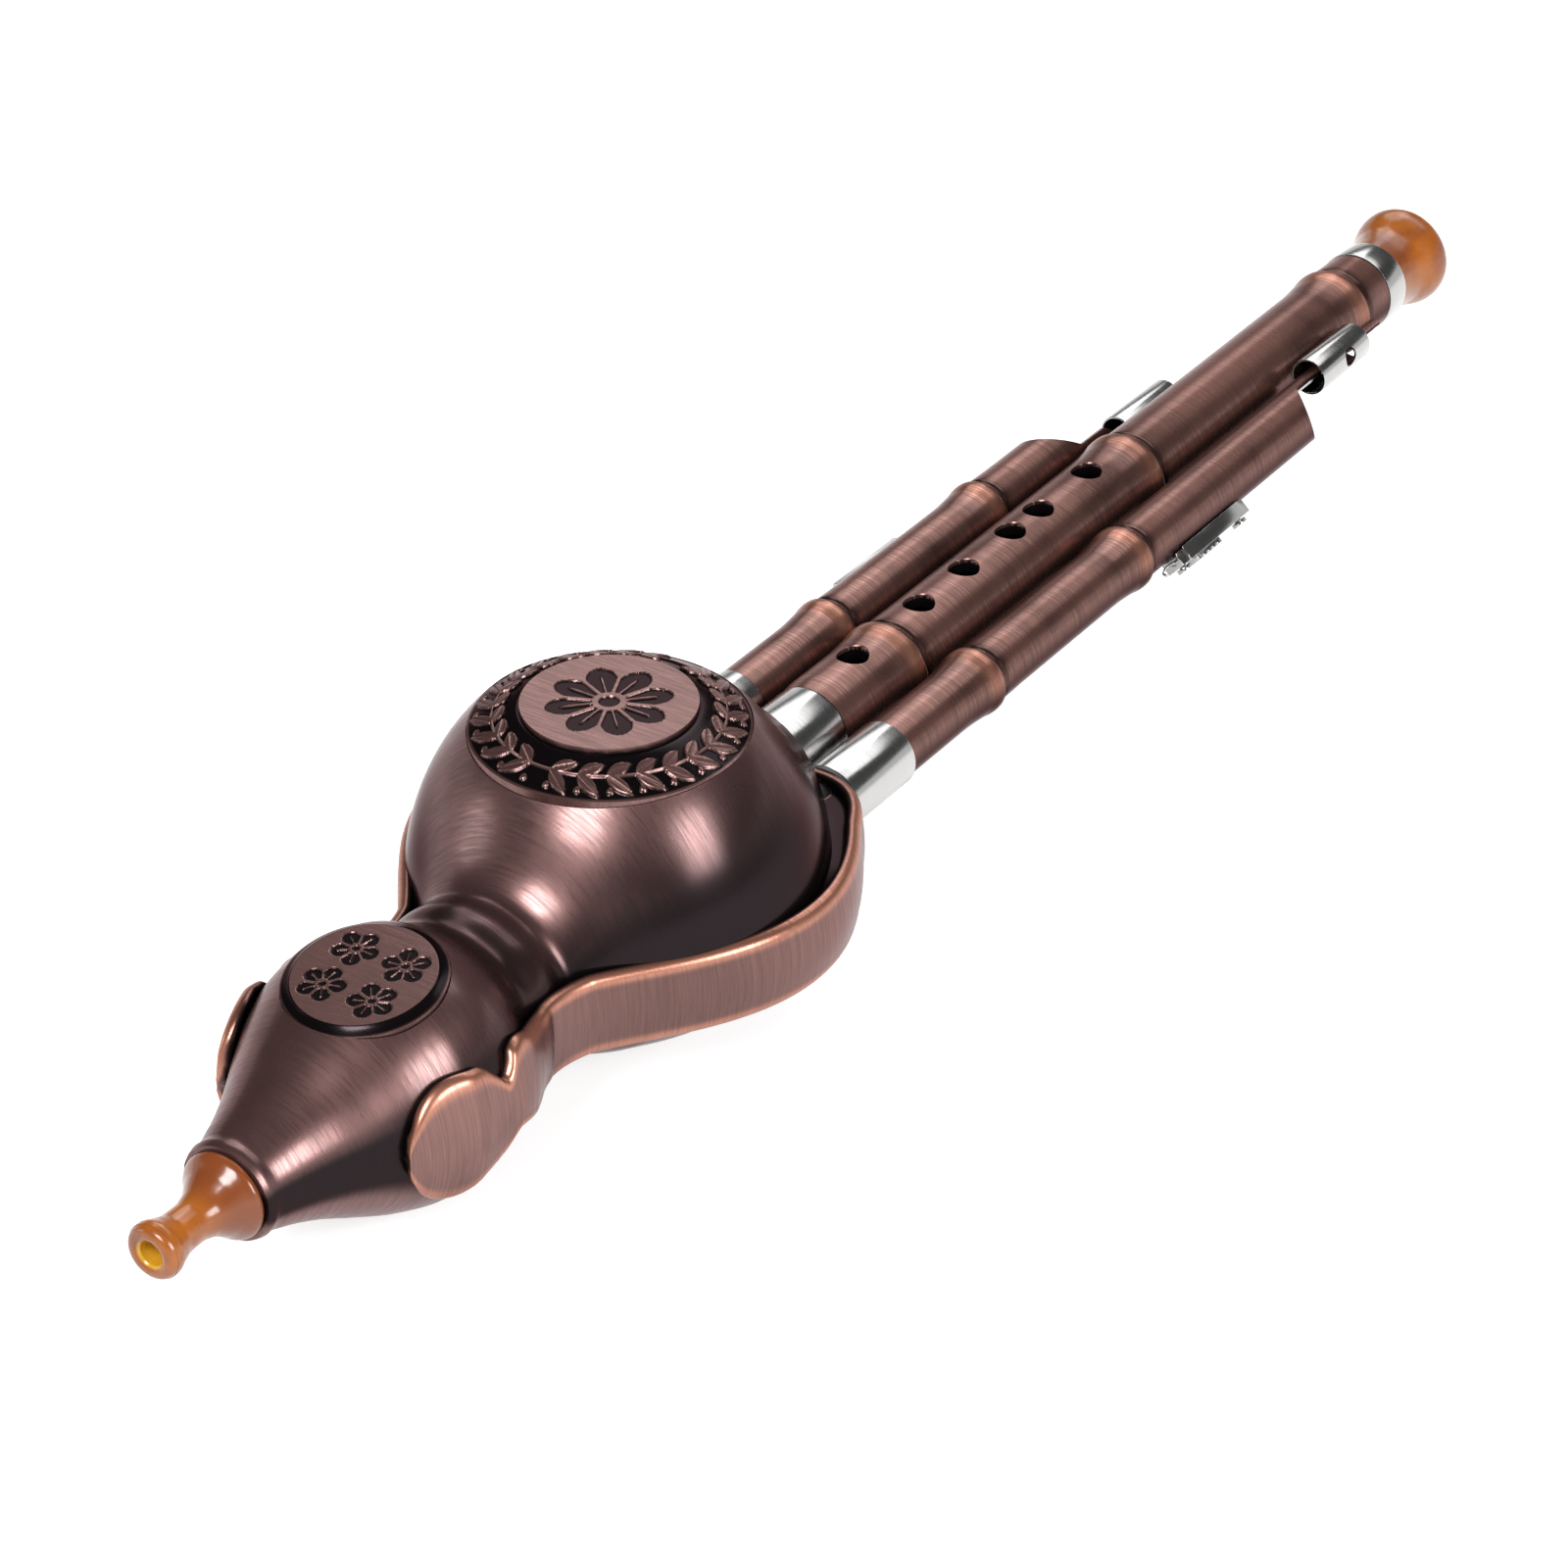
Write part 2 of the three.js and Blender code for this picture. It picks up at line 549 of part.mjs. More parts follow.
function socketBlock() {
  const inner = FACE_AT + GAP - SOCKET_DEPTH;
  const front = FACE_AT + GAP + SOCKET_FLANGE;
  const flangeBack = FACE_AT + GAP;
  const sideFlange = DRONE_SOCKET_RADIUS + SOCKET_WALL + GAP + FLANGE_STAND;
  const mainFlange = MAIN_SOCKET_RADIUS + SOCKET_WALL + GAP + FLANGE_STAND;
  let block = socketBody(0, inner, front).add(rod(mainFlange, flangeBack, front, 28));
  for (const x of [-DRONE_SPACING, DRONE_SPACING]) {
    block = block.add(solid(latheRod(sideFlange, flangeBack, front).translate(x, 0, 0)));
  }
  for (const x of [-DRONE_SPACING, DRONE_SPACING]) {
    const socket = latheRod(DRONE_SOCKET_RADIUS, inner - 1, front + 1);
    block = block.subtract(solid(socket.translate(x, 0, 0)));
  }
  return block.subtract(rod(MAIN_SOCKET_RADIUS, inner - 1, front + 1, 28));
}

function mouthpiece() {
  const base = NECK_AT - GAP;
  const tip = MOUTHPIECE_TIP_AT;
  const bore = MOUTHPIECE_BORE_RADIUS;
  const path = new THREE.Path();
  path.moveTo(bore, tip + 0.6);
  path.lineTo(bore + 1.1, tip);
  path.bezierCurveTo(MOUTHPIECE_TIP_RADIUS, tip, MOUTHPIECE_TIP_RADIUS, tip + 2.6,
    MOUTHPIECE_TIP_RADIUS, tip + 3.4);
  path.bezierCurveTo(MOUTHPIECE_TIP_RADIUS, tip + 5.4, MOUTHPIECE_WAIST_RADIUS, tip + 7.2,
    MOUTHPIECE_WAIST_RADIUS, tip + 0.5 * MOUTHPIECE_LENGTH);
  path.bezierCurveTo(MOUTHPIECE_WAIST_RADIUS, base - 4, MOUTHPIECE_BASE_RADIUS - 3, base - 3.4,
    MOUTHPIECE_BASE_RADIUS, base - 0.6);
  path.lineTo(MOUTHPIECE_BASE_RADIUS, base);
  path.lineTo(MOUTHPIECE_TENON_RADIUS, base);
  path.lineTo(MOUTHPIECE_TENON_RADIUS, base + MOUTHPIECE_TENON_LENGTH);
  path.lineTo(bore, base + MOUTHPIECE_TENON_LENGTH);
  return turned(path.getPoints(4), 24);
}

function mouthpieceSeal() {
  const inner = MOUTHPIECE_TENON_RADIUS + GAP;
  const middle = NECK_AT + MOUTHPIECE_TENON_LENGTH / 2;
  return tube(inner, inner + SEAL_THICKNESS, middle - 2, middle + 2, 24);
}

// Outline points of a bamboo joint: a swelling, a groove and a low second ring
function bambooJoint(pipeRadius, peak, at) {
  const rise = peak - pipeRadius;
  return [
    point(pipeRadius, at - 9),
    point(pipeRadius + 0.35 * rise, at - 4),
    point(peak, at - 0.7),
    point(peak - 0.1 * rise, at + 0.7),
    point(pipeRadius - 0.55 * rise, at + 2.1),
    point(pipeRadius + 0.05 * rise, at + 4.4),
    point(pipeRadius - 0.4 * rise, at + 6.2),
    point(pipeRadius, at + 11),
  ];
}

function mainPipe() {
  const tenonStart = FACE_AT + GAP - SOCKET_DEPTH;
  const ferruleSeat = MAIN_FERRULE_RADIUS - FERRULE_WALL - GAP;
  const ferruleEnd = FERRULE_START + MAIN_FERRULE_LENGTH + GAP;
  const bellSeat = BELL_FERRULE_RADIUS - FERRULE_WALL - GAP;
  const holder = mainHolderRadius() + GAP;
  const ringStart = MAIN_END_AT - BELL_FERRULE_LENGTH - GAP;
  const shoulder = tenonStart + HOLDER_SEAT_DEPTH + GAP;
  const profile = [
    point(holder, tenonStart),
    point(MAIN_TENON_RADIUS, tenonStart),
    point(MAIN_TENON_RADIUS, FERRULE_START),
    point(ferruleSeat, FERRULE_START),
    point(ferruleSeat, ferruleEnd),
    point(MAIN_RADIUS - 0.3, ferruleEnd),
    ...bambooJoint(MAIN_RADIUS, MAIN_NODE_RADIUS, MAIN_NODE_1_AT),
    ...bambooJoint(MAIN_RADIUS, MAIN_NODE_RADIUS, MAIN_NODE_2_AT),
    ...bambooJoint(MAIN_RADIUS, MAIN_NODE_RADIUS, MAIN_NODE_3_AT).slice(0, -1),
    point(MAIN_RADIUS - 0.15, ringStart),
    point(bellSeat, ringStart),
    point(bellSeat, MAIN_END_AT),
    point(MAIN_BORE_RADIUS, MAIN_END_AT),
    point(MAIN_BORE_RADIUS, shoulder),
    point(holder, shoulder),
  ];
  const front = [
    FINGER_HOLE_1_AT,
    FINGER_HOLE_2_AT,
    FINGER_HOLE_3_AT,
    FINGER_HOLE_4_AT,
    FINGER_HOLE_5_AT,
    FINGER_HOLE_6_AT,
  ];
  let pipe = turned(profile, 26);
  for (const at of front) {
    pipe = pipe.subtract(pin(FINGER_HOLE_RADIUS, 0, at, 0, 2 * MAIN_RADIUS));
  }
  return pipe.subtract(pin(FINGER_HOLE_RADIUS, 0, THUMB_HOLE_AT, -2 * MAIN_RADIUS, 0));
}

function mainHolderRadius() {
  return MAIN_TENON_RADIUS - 2 * REED_HOLDER_WALL;
}

function droneHolderRadius() {
  return DRONE_TENON_BORE_RADIUS - GAP;
}

function ferrule(radius, length) {
  return tube(radius - FERRULE_WALL, radius, FERRULE_START, FERRULE_START + length, 28);
}

function socketSeal(tenonRadius) {
  const inner = tenonRadius + GAP;
  const from = FACE_AT + GAP - SOCKET_DEPTH + 3;
  return tube(inner, inner + SEAL_THICKNESS, from, FACE_AT - 1, 24);
}

// A tube closed at its inner end, with a flat and a window for the reed
function reedHolder(radius, wall, reach) {
  const seat = FACE_AT + GAP - SOCKET_DEPTH;
  const end = seat - reach;
  const bore = radius - wall;
  const flat = radius * 0.8;
  const profile = [
    point(0, end),
    point(radius, end),
    point(radius, seat + HOLDER_SEAT_DEPTH),
    point(bore, seat + HOLDER_SEAT_DEPTH),
    point(bore, end + 1.5),
    point(0, end + 1.5),
  ];
  const flatLength = reach - 6;
  const flatMiddle = end + 2 + flatLength / 2;
  const flatCut = box(4 * radius, flatLength, 2 * radius, 0, flatMiddle, flat + radius);
  const window = box(bore * 1.1, flatLength - 4, 2 * radius, 0, flatMiddle, radius);
  return turned(profile, 20).subtract(flatCut).subtract(window);
}

// A thin plate with a tongue cut free on three sides
function reed(radius, reach) {
  const seat = FACE_AT + GAP - SOCKET_DEPTH;
  const end = seat - reach;
  const flat = radius * 0.8;
  const length = reach - 6 - 2 * GAP;
  const middle = end + 2 + (reach - 6) / 2;
  const width = radius * 1.1;
  const tongue = width * 0.4;
  const height = flat + GAP + REED_THICKNESS / 2;
  const tongueLength = length * 0.62;
  const slot = (w, l, x, y) => box(w, l, 3, x, y, height);
  const tip = middle - tongueLength / 2;
  return box(width, length, REED_THICKNESS, 0, middle, height)
    .subtract(slot(REED_SLIT, tongueLength, -tongue / 2, middle))
    .subtract(slot(REED_SLIT, tongueLength, tongue / 2, middle))
    .subtract(slot(tongue + REED_SLIT, REED_SLIT, 0, tip));
}

function bellFerrule() {
  const from = MAIN_END_AT - BELL_FERRULE_LENGTH;
  return tube(BELL_FERRULE_RADIUS - FERRULE_WALL, BELL_FERRULE_RADIUS, from, MAIN_END_AT, 28);
}

function endBell() {
  const start = MAIN_END_AT + GAP;
  const end = BELL_END_AT;
  const spigot = MAIN_BORE_RADIUS - GAP;
  const path = new THREE.Path();
  path.moveTo(BELL_BORE_RADIUS, start - BELL_SPIGOT_LENGTH);
  path.lineTo(spigot, start - BELL_SPIGOT_LENGTH);
  path.lineTo(spigot, start);
  path.lineTo(BELL_FERRULE_RADIUS - 0.8, start);
  path.bezierCurveTo(BELL_FERRULE_RADIUS - 0.8, start + 0.52 * BELL_LENGTH, BELL_RADIUS, end - 7,
    BELL_RADIUS, end - 3.4);
  path.bezierCurveTo(BELL_RADIUS, end - 1.4, BELL_RADIUS - 0.8, end, BELL_RADIUS - 1.8, end);
  path.bezierCurveTo(BELL_RADIUS - 3, end - 0.4, BELL_BORE_RADIUS, start + 6,
    BELL_BORE_RADIUS, start + 2);
  return turned(path.getPoints(4), 26);
}

// A wedge about the Y axis that opens towards +Z
function wedge(halfAngle, from, to) {
  const reach = 3 * DRONE_RADIUS;
  const shape = new THREE.Shape();
  shape.moveTo(0, 0);
  shape.lineTo(reach * Math.sin(halfAngle), reach * Math.cos(halfAngle));
  shape.lineTo(-reach * Math.sin(halfAngle), reach * Math.cos(halfAngle));
  const geometry = new THREE.ExtrudeGeometry(shape, { depth: to - from, bevelEnabled: false });
  geometry.rotateX(Math.PI / 2);
  geometry.translate(0, to, 0);
  return solid(geometry);
}

// Everything on the near side of a slanting cut that is longest at +Z
function belowCut(cutAt, cutLength) {
  const slope = cutLength / (2 * DRONE_RADIUS);
  const reach = 3 * DRONE_RADIUS;
  const start = cutAt - 40 * DRONE_RADIUS;
  const shape = new THREE.Shape();
  shape.moveTo(-reach, start);
  shape.lineTo(-reach, cutAt + slope * (DRONE_RADIUS - reach));
  shape.lineTo(reach, cutAt + slope * (DRONE_RADIUS + reach));
  shape.lineTo(reach, start);
  return sideSlab(shape, 2 * reach);
}

function turnedAboutAxis(manifold, angle) {
  return solid(geometryOf(manifold).rotateY(angle));
}

function dronePipe(spec) {
  const tenonStart = FACE_AT + GAP - SOCKET_DEPTH;
  const ferruleSeat = DRONE_FERRULE_RADIUS - FERRULE_WALL - GAP;
  const ferruleEnd = FERRULE_START + DRONE_FERRULE_LENGTH + GAP;
  const shoulder = ferruleEnd + 2;
  const profile = [
    point(DRONE_TENON_BORE_RADIUS, tenonStart),
    point(DRONE_TENON_RADIUS, tenonStart),
    point(DRONE_TENON_RADIUS, FERRULE_START),
    point(ferruleSeat, FERRULE_START),
    point(ferruleSeat, ferruleEnd),
    point(DRONE_RADIUS, ferruleEnd),
    ...bambooJoint(DRONE_RADIUS, DRONE_NODE_RADIUS, DRONE_NODE_1_AT),
    ...bambooJoint(DRONE_RADIUS, DRONE_NODE_RADIUS, DRONE_NODE_2_AT),
    point(DRONE_RADIUS, spec.tipAt),
    point(DRONE_BORE_RADIUS, spec.tipAt),
    point(DRONE_BORE_RADIUS, shoulder),
    point(DRONE_TENON_BORE_RADIUS, shoulder - 4),
  ];
  const whole = turned(profile, 24);
  const mouth = turnedAboutAxis(belowCut(spec.cutAt, spec.cutLength), spec.cutTurn);
  const bevel = belowCut(spec.tipAt - spec.cutLength / 2, spec.cutLength / 2);
  const tongue = wedge(TONGUE_HALF_ANGLE, spec.cutAt, spec.tipAt).intersect(bevel);
  const shoulderEnd = belowCut(spec.cutAt + TONGUE_SHOULDER_RUN, spec.cutLength);
  const wide = wedge(TONGUE_SHOULDER_HALF_ANGLE, spec.cutAt, spec.tipAt).intersect(shoulderEnd);
  const kept = spec.shoulder ? tongue.add(wide) : tongue;
  const shaped = whole.intersect(mouth.add(turnedAboutAxis(kept, spec.tongueTurn)));
  return shaped.subtract(turnedAboutAxis(switchHoles(spec.switchAt), spec.switchTurn));
}

// The drone's tone hole and the two screw holes under its switch
function switchHoles(at) {
  const half = SWITCH_SCREW_SPACING / 2;
  const low = DRONE_BORE_RADIUS - 2;
  const high = DRONE_RADIUS + 2;
  const radius = SCREW_RADIUS + GAP;
  const tone = pin(TONE_HOLE_RADIUS, 0, at - SLIDER_TRAVEL / 2, low, high);
  const nearScrew = pin(radius, 0, at - half, low, high, 12);
  return tone.add(nearScrew).add(pin(radius, 0, at + half, low, high, 12));
}

// Bright lining on the inside of the tongue
function tongueLiner(spec) {
  const outer = DRONE_BORE_RADIUS - GAP;
  const from = spec.cutAt - spec.cutLength;
  const to = spec.tipAt - spec.cutLength / 2;
  const lining = tube(outer - LINER_THICKNESS, outer, from, to, 28);
  return turnedAboutAxis(lining.intersect(wedge(LINER_HALF_ANGLE, from - 1, to + 1)), spec.tongueTurn);
}

// Open tube with one side hole, offset from the drone's axis to sit on the tongue
function tuningSleeve(spec) {
  const at = spec.sleeveAt;
  const outer = latheTube(SLEEVE_RADIUS - SLEEVE_WALL, SLEEVE_RADIUS, at, at + SLEEVE_LENGTH);
  const hole = pin(SLEEVE_HOLE_RADIUS, 0, at + SLEEVE_HOLE_AT, 0, 2 * SLEEVE_RADIUS);
  const holeTurn = spec.tongueTurn + SLEEVE_HOLE_TURN;
  const sleeve = geometryOf(solid(outer).subtract(turnedAboutAxis(hole, holeTurn)));
  const upright = new THREE.Vector3(0, 1, 0);
  const shift = new THREE.Vector3(0, 0, SLEEVE_OFFSET).applyAxisAngle(upright, spec.tongueTurn);
  sleeve.translate(shift.x, shift.y, shift.z);
  return solid(sleeve);
}

function latheTube(inner, outer, from, to) {
  const corners = [point(inner, from), point(outer, from), point(outer, to), point(inner, to)];
  return new THREE.LatheGeometry([...corners, corners[0]], 28);
}

// The switch is made with the drone's axis on Y and its outside towards +Z
function switchBase() {
  const half = SWITCH_SCREW_SPACING / 2;
  const length = SWITCH_SCREW_SPACING + SWITCH_END_LENGTH;
  const low = DRONE_RADIUS * 0.6;
  const plateHeight = SWITCH_PLATE_TOP - low;
  const railHeight = SWITCH_RAIL_TOP - SWITCH_PLATE_TOP;
  const railX = SWITCH_HALF_WIDTH - SWITCH_RAIL_WIDTH / 2;
  const lipX = SWITCH_HALF_WIDTH - (SWITCH_RAIL_WIDTH + SWITCH_LIP_WIDTH) / 2;
  const lipZ = SWITCH_RAIL_TOP - SWITCH_LIP_THICKNESS / 2;
  let base = box(2 * SWITCH_HALF_WIDTH, SWITCH_SCREW_SPACING, plateHeight, 0, 0, low + plateHeight / 2);
  for (const side of [-1, 1]) {
    base = base.add(box(SWITCH_RAIL_WIDTH, SWITCH_SCREW_SPACING, railHeight + 1,
      side * railX, 0, SWITCH_PLATE_TOP + railHeight / 2 - 0.5));
    base = base.add(box(SWITCH_RAIL_WIDTH + SWITCH_LIP_WIDTH, SWITCH_SCREW_SPACING,
      SWITCH_LIP_THICKNESS, side * lipX, 0, lipZ));
    base = base.add(box(2 * SWITCH_END_HALF_WIDTH, SWITCH_END_LENGTH, SWITCH_RAIL_TOP - low,
      0, side * half, (low + SWITCH_RAIL_TOP) / 2));
  }
  const windowLength = PAD_LENGTH + SLIDER_TRAVEL + 2 * RUNNING_GAP;
  const windowWidth = PAD_WIDTH + 2 * RUNNING_GAP;
  base = base.subtract(box(windowWidth, windowLength, 4 * DRONE_RADIUS, 0, 0, 0));
  for (const side of [-1, 1]) {
    base = base.subtract(pin(SCREW_RADIUS + GAP, 0, side * half, 0, 2 * SWITCH_RAIL_TOP, 12));
  }
  return base.subtract(rod(DRONE_RADIUS + GAP, -length, length, 40));
}

// T-shaped runner under the base's lips, with a ribbed grip on top
function switchSlider() {
  const at = -SLIDER_TRAVEL / 2;
  const low = SWITCH_PLATE_TOP + RUNNING_GAP;
  const high = SWITCH_RAIL_TOP - SWITCH_LIP_THICKNESS - RUNNING_GAP;
  const width = 2 * (SWITCH_HALF_WIDTH - SWITCH_RAIL_WIDTH - RUNNING_GAP);
  const neck = width - 2 * SWITCH_LIP_WIDTH;
  const top = SWITCH_RAIL_TOP + SLIDER_GRIP_HEIGHT;
  let slider = box(width, SLIDER_LENGTH, high - low, 0, at, (low + high) / 2);
  slider = slider.add(box(neck, SLIDER_LENGTH, top - high, 0, at, (high + top) / 2));
  const step = SLIDER_LENGTH / 5;
  for (let i = 1; i <= 4; i += 1) {
    slider = slider.subtract(box(2 * neck, step / 3, 0.8, 0, at - SLIDER_LENGTH / 2 + i * step, top));
  }
  return slider;
}

function switchPad() {
  const low = DRONE_RADIUS - 1;
  const high = SWITCH_PLATE_TOP;
  const pad = box(PAD_WIDTH, PAD_LENGTH, high - low, 0, -SLIDER_TRAVEL / 2, (low + high) / 2);
  return pad.subtract(rod(DRONE_RADIUS + GAP, -SLIDER_LENGTH, SLIDER_LENGTH, 40));
}

function switchScrew(end) {
  const at = end * SWITCH_SCREW_SPACING / 2;
  const head = SWITCH_RAIL_TOP + GAP;
  const shank = pin(SCREW_RADIUS, 0, at, DRONE_BORE_RADIUS, head + GAP, 12);
  const slot = box(4 * SCREW_HEAD_RADIUS, 0.5, 0.8, 0, at, head + SCREW_HEAD_HEIGHT);
  return shank.add(pin(SCREW_HEAD_RADIUS, 0, at, head, head + SCREW_HEAD_HEIGHT, 16)).subtract(slot);
}

// Small hooked wire held against the base's near end
function switchSpring() {
  const baseEnd = -(SWITCH_SCREW_SPACING + SWITCH_END_LENGTH) / 2;
  const start = baseEnd - GAP - SPRING_WIRE_RADIUS;
  const low = DRONE_RADIUS + GAP + SPRING_WIRE_RADIUS;
  const path = new THREE.CatmullRomCurve3([
    new THREE.Vector3(-1.6, start, low + 0.4),
    new THREE.Vector3(1.2, start, low + 0.3),
    new THREE.Vector3(2, start - 1.1, low + 1),
    new THREE.Vector3(0.9, start - 1.8, low + 1.7),
  ]);
  const section = new THREE.Shape();
  section.absarc(0, 0, SPRING_WIRE_RADIUS, 0, 2 * Math.PI);
  const options = { extrudePath: path, steps: 8, bevelEnabled: false, curveSegments: 3 };
  return solid(new THREE.ExtrudeGeometry(section, options));
}

const rightDrone = {
  name: 'right',
  x: DRONE_SPACING,
  cutAt: RIGHT_CUT_AT,
  cutLength: RIGHT_CUT_LENGTH,
  cutTurn: RIGHT_CUT_TURN,
  tipAt: RIGHT_TIP_AT,
  shoulder: false,
  tongueTurn: RIGHT_TONGUE_TURN,
  sleeveAt: RIGHT_SLEEVE_AT,
  switchAt: RIGHT_SWITCH_AT,
  switchTurn: RIGHT_SWITCH_TURN,
};

const leftDrone = {
  name: 'left',
  x: -DRONE_SPACING,
  cutAt: LEFT_CUT_AT,
  cutLength: LEFT_CUT_LENGTH,
  cutTurn: LEFT_CUT_TURN,
  tipAt: LEFT_TIP_AT,
  shoulder: true,
  tongueTurn: LEFT_TONGUE_TURN,
  sleeveAt: LEFT_SLEEVE_AT,
  switchAt: LEFT_SWITCH_AT,
  switchTurn: LEFT_SWITCH_TURN,
};

function droneGroup(spec) {
  const { name } = spec;
  const holder = droneHolderRadius();
  const droneFerrule = ferrule(DRONE_FERRULE_RADIUS, DRONE_FERRULE_LENGTH);
  const drone = new THREE.Group();
  drone.position.x = spec.x;
  drone.add(piece(`${name}_drone_pipe`, dronePipe(spec), copper));
  drone.add(piece(`${name}_drone_liner`, tongueLiner(spec), nickel));
  drone.add(piece(`${name}_drone_ferrule`, droneFerrule, nickel));
  drone.add(piece(`${name}_drone_seal`, socketSeal(DRONE_TENON_RADIUS), cork));
  drone.add(piece(`${name}_reed_holder`, reedHolder(holder, DRONE_HOLDER_WALL, DRONE_REED_REACH), brass));
  drone.add(piece(`${name}_reed`, reed(holder, DRONE_REED_REACH), brass));
  drone.add(piece(`${name}_tuning_sleeve`, tuningSleeve(spec), nickel));
  const slideSwitch = new THREE.Group();
  slideSwitch.rotation.y = spec.switchTurn;
  slideSwitch.position.y = spec.switchAt;
  slideSwitch.add(piece(`${name}_switch_base`, switchBase(), nickel));
  slideSwitch.add(piece(`${name}_switch_slider`, switchSlider(), nickel));
  slideSwitch.add(piece(`${name}_switch_pad`, switchPad(), dark));
  slideSwitch.add(piece(`${name}_switch_near_screw`, switchScrew(-1), nickel));
  slideSwitch.add(piece(`${name}_switch_far_screw`, switchScrew(1), nickel));
  slideSwitch.add(piece(`${name}_switch_spring`, switchSpring(), nickel));
  drone.add(slideSwitch);
  return drone;
}

const group = new THREE.Group();
group.add(piece('gourd_front_shell', gourdShell(1), copper));
group.add(piece('gourd_back_shell', gourdShell(-1), copper));
group.add(piece('large_medallion', largeMedallion(), copper));
group.add(piece('back_medallion', backMedallion(), copper));
group.add(piece('small_medallion', smallMedallion(), copper));
group.add(piece('pipe_socket_block', socketBlock(), dark));
group.add(piece('mouthpiece', mouthpiece(), amber));
group.add(piece('mouthpiece_seal', mouthpieceSeal(), dark));
group.add(piece('main_pipe', mainPipe(), copper));
group.add(piece('main_ferrule', ferrule(MAIN_FERRULE_RADIUS, MAIN_FERRULE_LENGTH), nickel));
group.add(piece('main_seal', socketSeal(MAIN_TENON_RADIUS), cork));
const mainHolder = reedHolder(mainHolderRadius(), REED_HOLDER_WALL, MAIN_REED_REACH);
group.add(piece('main_reed_holder', mainHolder, brass));
group.add(piece('main_reed', reed(mainHolderRadius(), MAIN_REED_REACH), brass));
group.add(piece('bell_ferrule', bellFerrule(), nickel));
group.add(piece('end_bell', endBell(), amber));
group.add(droneGroup(leftDrone));
group.add(droneGroup(rightDrone));
group.position.set(0, -MIDDLE, AXIS_HEIGHT);

export default group;
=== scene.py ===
import math
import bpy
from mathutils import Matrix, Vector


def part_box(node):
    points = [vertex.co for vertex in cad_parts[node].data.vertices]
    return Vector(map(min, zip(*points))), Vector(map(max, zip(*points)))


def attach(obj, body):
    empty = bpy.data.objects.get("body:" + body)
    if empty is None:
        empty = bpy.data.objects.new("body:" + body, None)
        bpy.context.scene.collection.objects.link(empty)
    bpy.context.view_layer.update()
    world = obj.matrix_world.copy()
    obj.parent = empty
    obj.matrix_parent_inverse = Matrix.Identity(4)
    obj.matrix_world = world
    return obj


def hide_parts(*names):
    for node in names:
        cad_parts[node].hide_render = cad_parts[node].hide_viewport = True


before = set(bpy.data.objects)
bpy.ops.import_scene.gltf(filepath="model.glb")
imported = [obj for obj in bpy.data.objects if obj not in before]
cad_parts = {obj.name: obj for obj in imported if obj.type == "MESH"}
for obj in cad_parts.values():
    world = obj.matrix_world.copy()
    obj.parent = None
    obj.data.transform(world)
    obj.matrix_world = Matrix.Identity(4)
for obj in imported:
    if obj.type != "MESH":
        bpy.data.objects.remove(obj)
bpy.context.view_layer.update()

from types import SimpleNamespace

import bmesh
import bpy
import numpy as np
from bpy.props import FloatProperty, FloatVectorProperty, PointerProperty
from bpy.types import Operator, Panel, PropertyGroup
from mathutils import Matrix, Vector

bl_info = {
    "name": "Hulusi",
    "version": (1, 0, 0),
    "blender": (4, 5, 0),
    "location": "3D View > Sidebar > Hulusi",
    "description": "Builds a gourd pipe with two drones, its finishes and its studio",
    "category": "Add Mesh",
}

# Places along the instrument, in millimetres from the thumb hole. The pipes run along +Y,
# the finger holes face +Z, and the main pipe's axis is x = 0, z = 0.
MM = 0.001
NECK_AT = -185.3
END_BLADE_TIP_AT = -161.9
END_BLADE_AT = -151.3
SMALL_MEDALLION_AT = -145.3
UPPER_LOBE_AT = -140.0
WAIST_AT = -116.0
MEDALLION_AT = -71.6
LOWER_LOBE_AT = -71.0
SKIRT_AT = -66.0
FACE_AT = -27.5
FERRULE_AT = -25.7
MAIN_END_AT = 223.9
BELL_START_AT = 224.2
BELL_END_AT = 241.4
TENON_START_AT = -48.2
FINGER_HOLES_AT = (98.3, 79.1, 68.1, 50.2, 33.4, 9.3)
MAIN_JOINTS_AT = (21.0, 114.0, 205.0)
DRONE_JOINTS_AT = (26.3, 84.1)

# Sizes that several pieces share, in millimetres and radians.
GAP = 0.3
NECK_RADIUS = 8.7
NECK_BORE = 5.5
BAND_HALF_WIDTH = 43.9
BACK_DISC_RADIUS = 14.0
MAIN_SOCKET_RADIUS = 10.0
DRONE_SOCKET_RADIUS = 7.1
MAIN_FERRULE_RADIUS = 8.85
DRONE_FERRULE_RADIUS = 6.9
MAIN_SEAT_END = FERRULE_AT + 20.0
DRONE_SEAT_END = FERRULE_AT + 20.4
RING_SEAT_AT = MAIN_END_AT - 7.5
SLEEVE_OFFSET = 4.95
SLEEVE_LENGTH = 20.6
TONGUE_HALF_ANGLE = math.radians(31.5)
SHOULDER_HALF_ANGLE = math.radians(78)

WHITE = (1.0, 1.0, 1.0, 1.0)
PALE = 0.62


def frame_origin():
    """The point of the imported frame, in metres, where the places above are measured from."""
    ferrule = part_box("main_ferrule")
    pipe_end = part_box("main_pipe")[1][1]
    return np.array([0.0, pipe_end - MAIN_END_AT * MM, (ferrule[0][2] + ferrule[1][2]) / 2])


ORIGIN = frame_origin()


def length(name, millimetres, words):
    """A size that a user may change."""
    return FloatProperty(name=name.replace("_", " ").capitalize(), description=words,
                         default=millimetres * MM, unit="LENGTH", min=0.0, precision=5)


def colour(name, value, words):
    """A colour that a user may change."""
    return FloatVectorProperty(name=name.replace("_", " ").capitalize(), description=words,
                               default=value, subtype="COLOR", size=3, min=0.0, max=1.0)


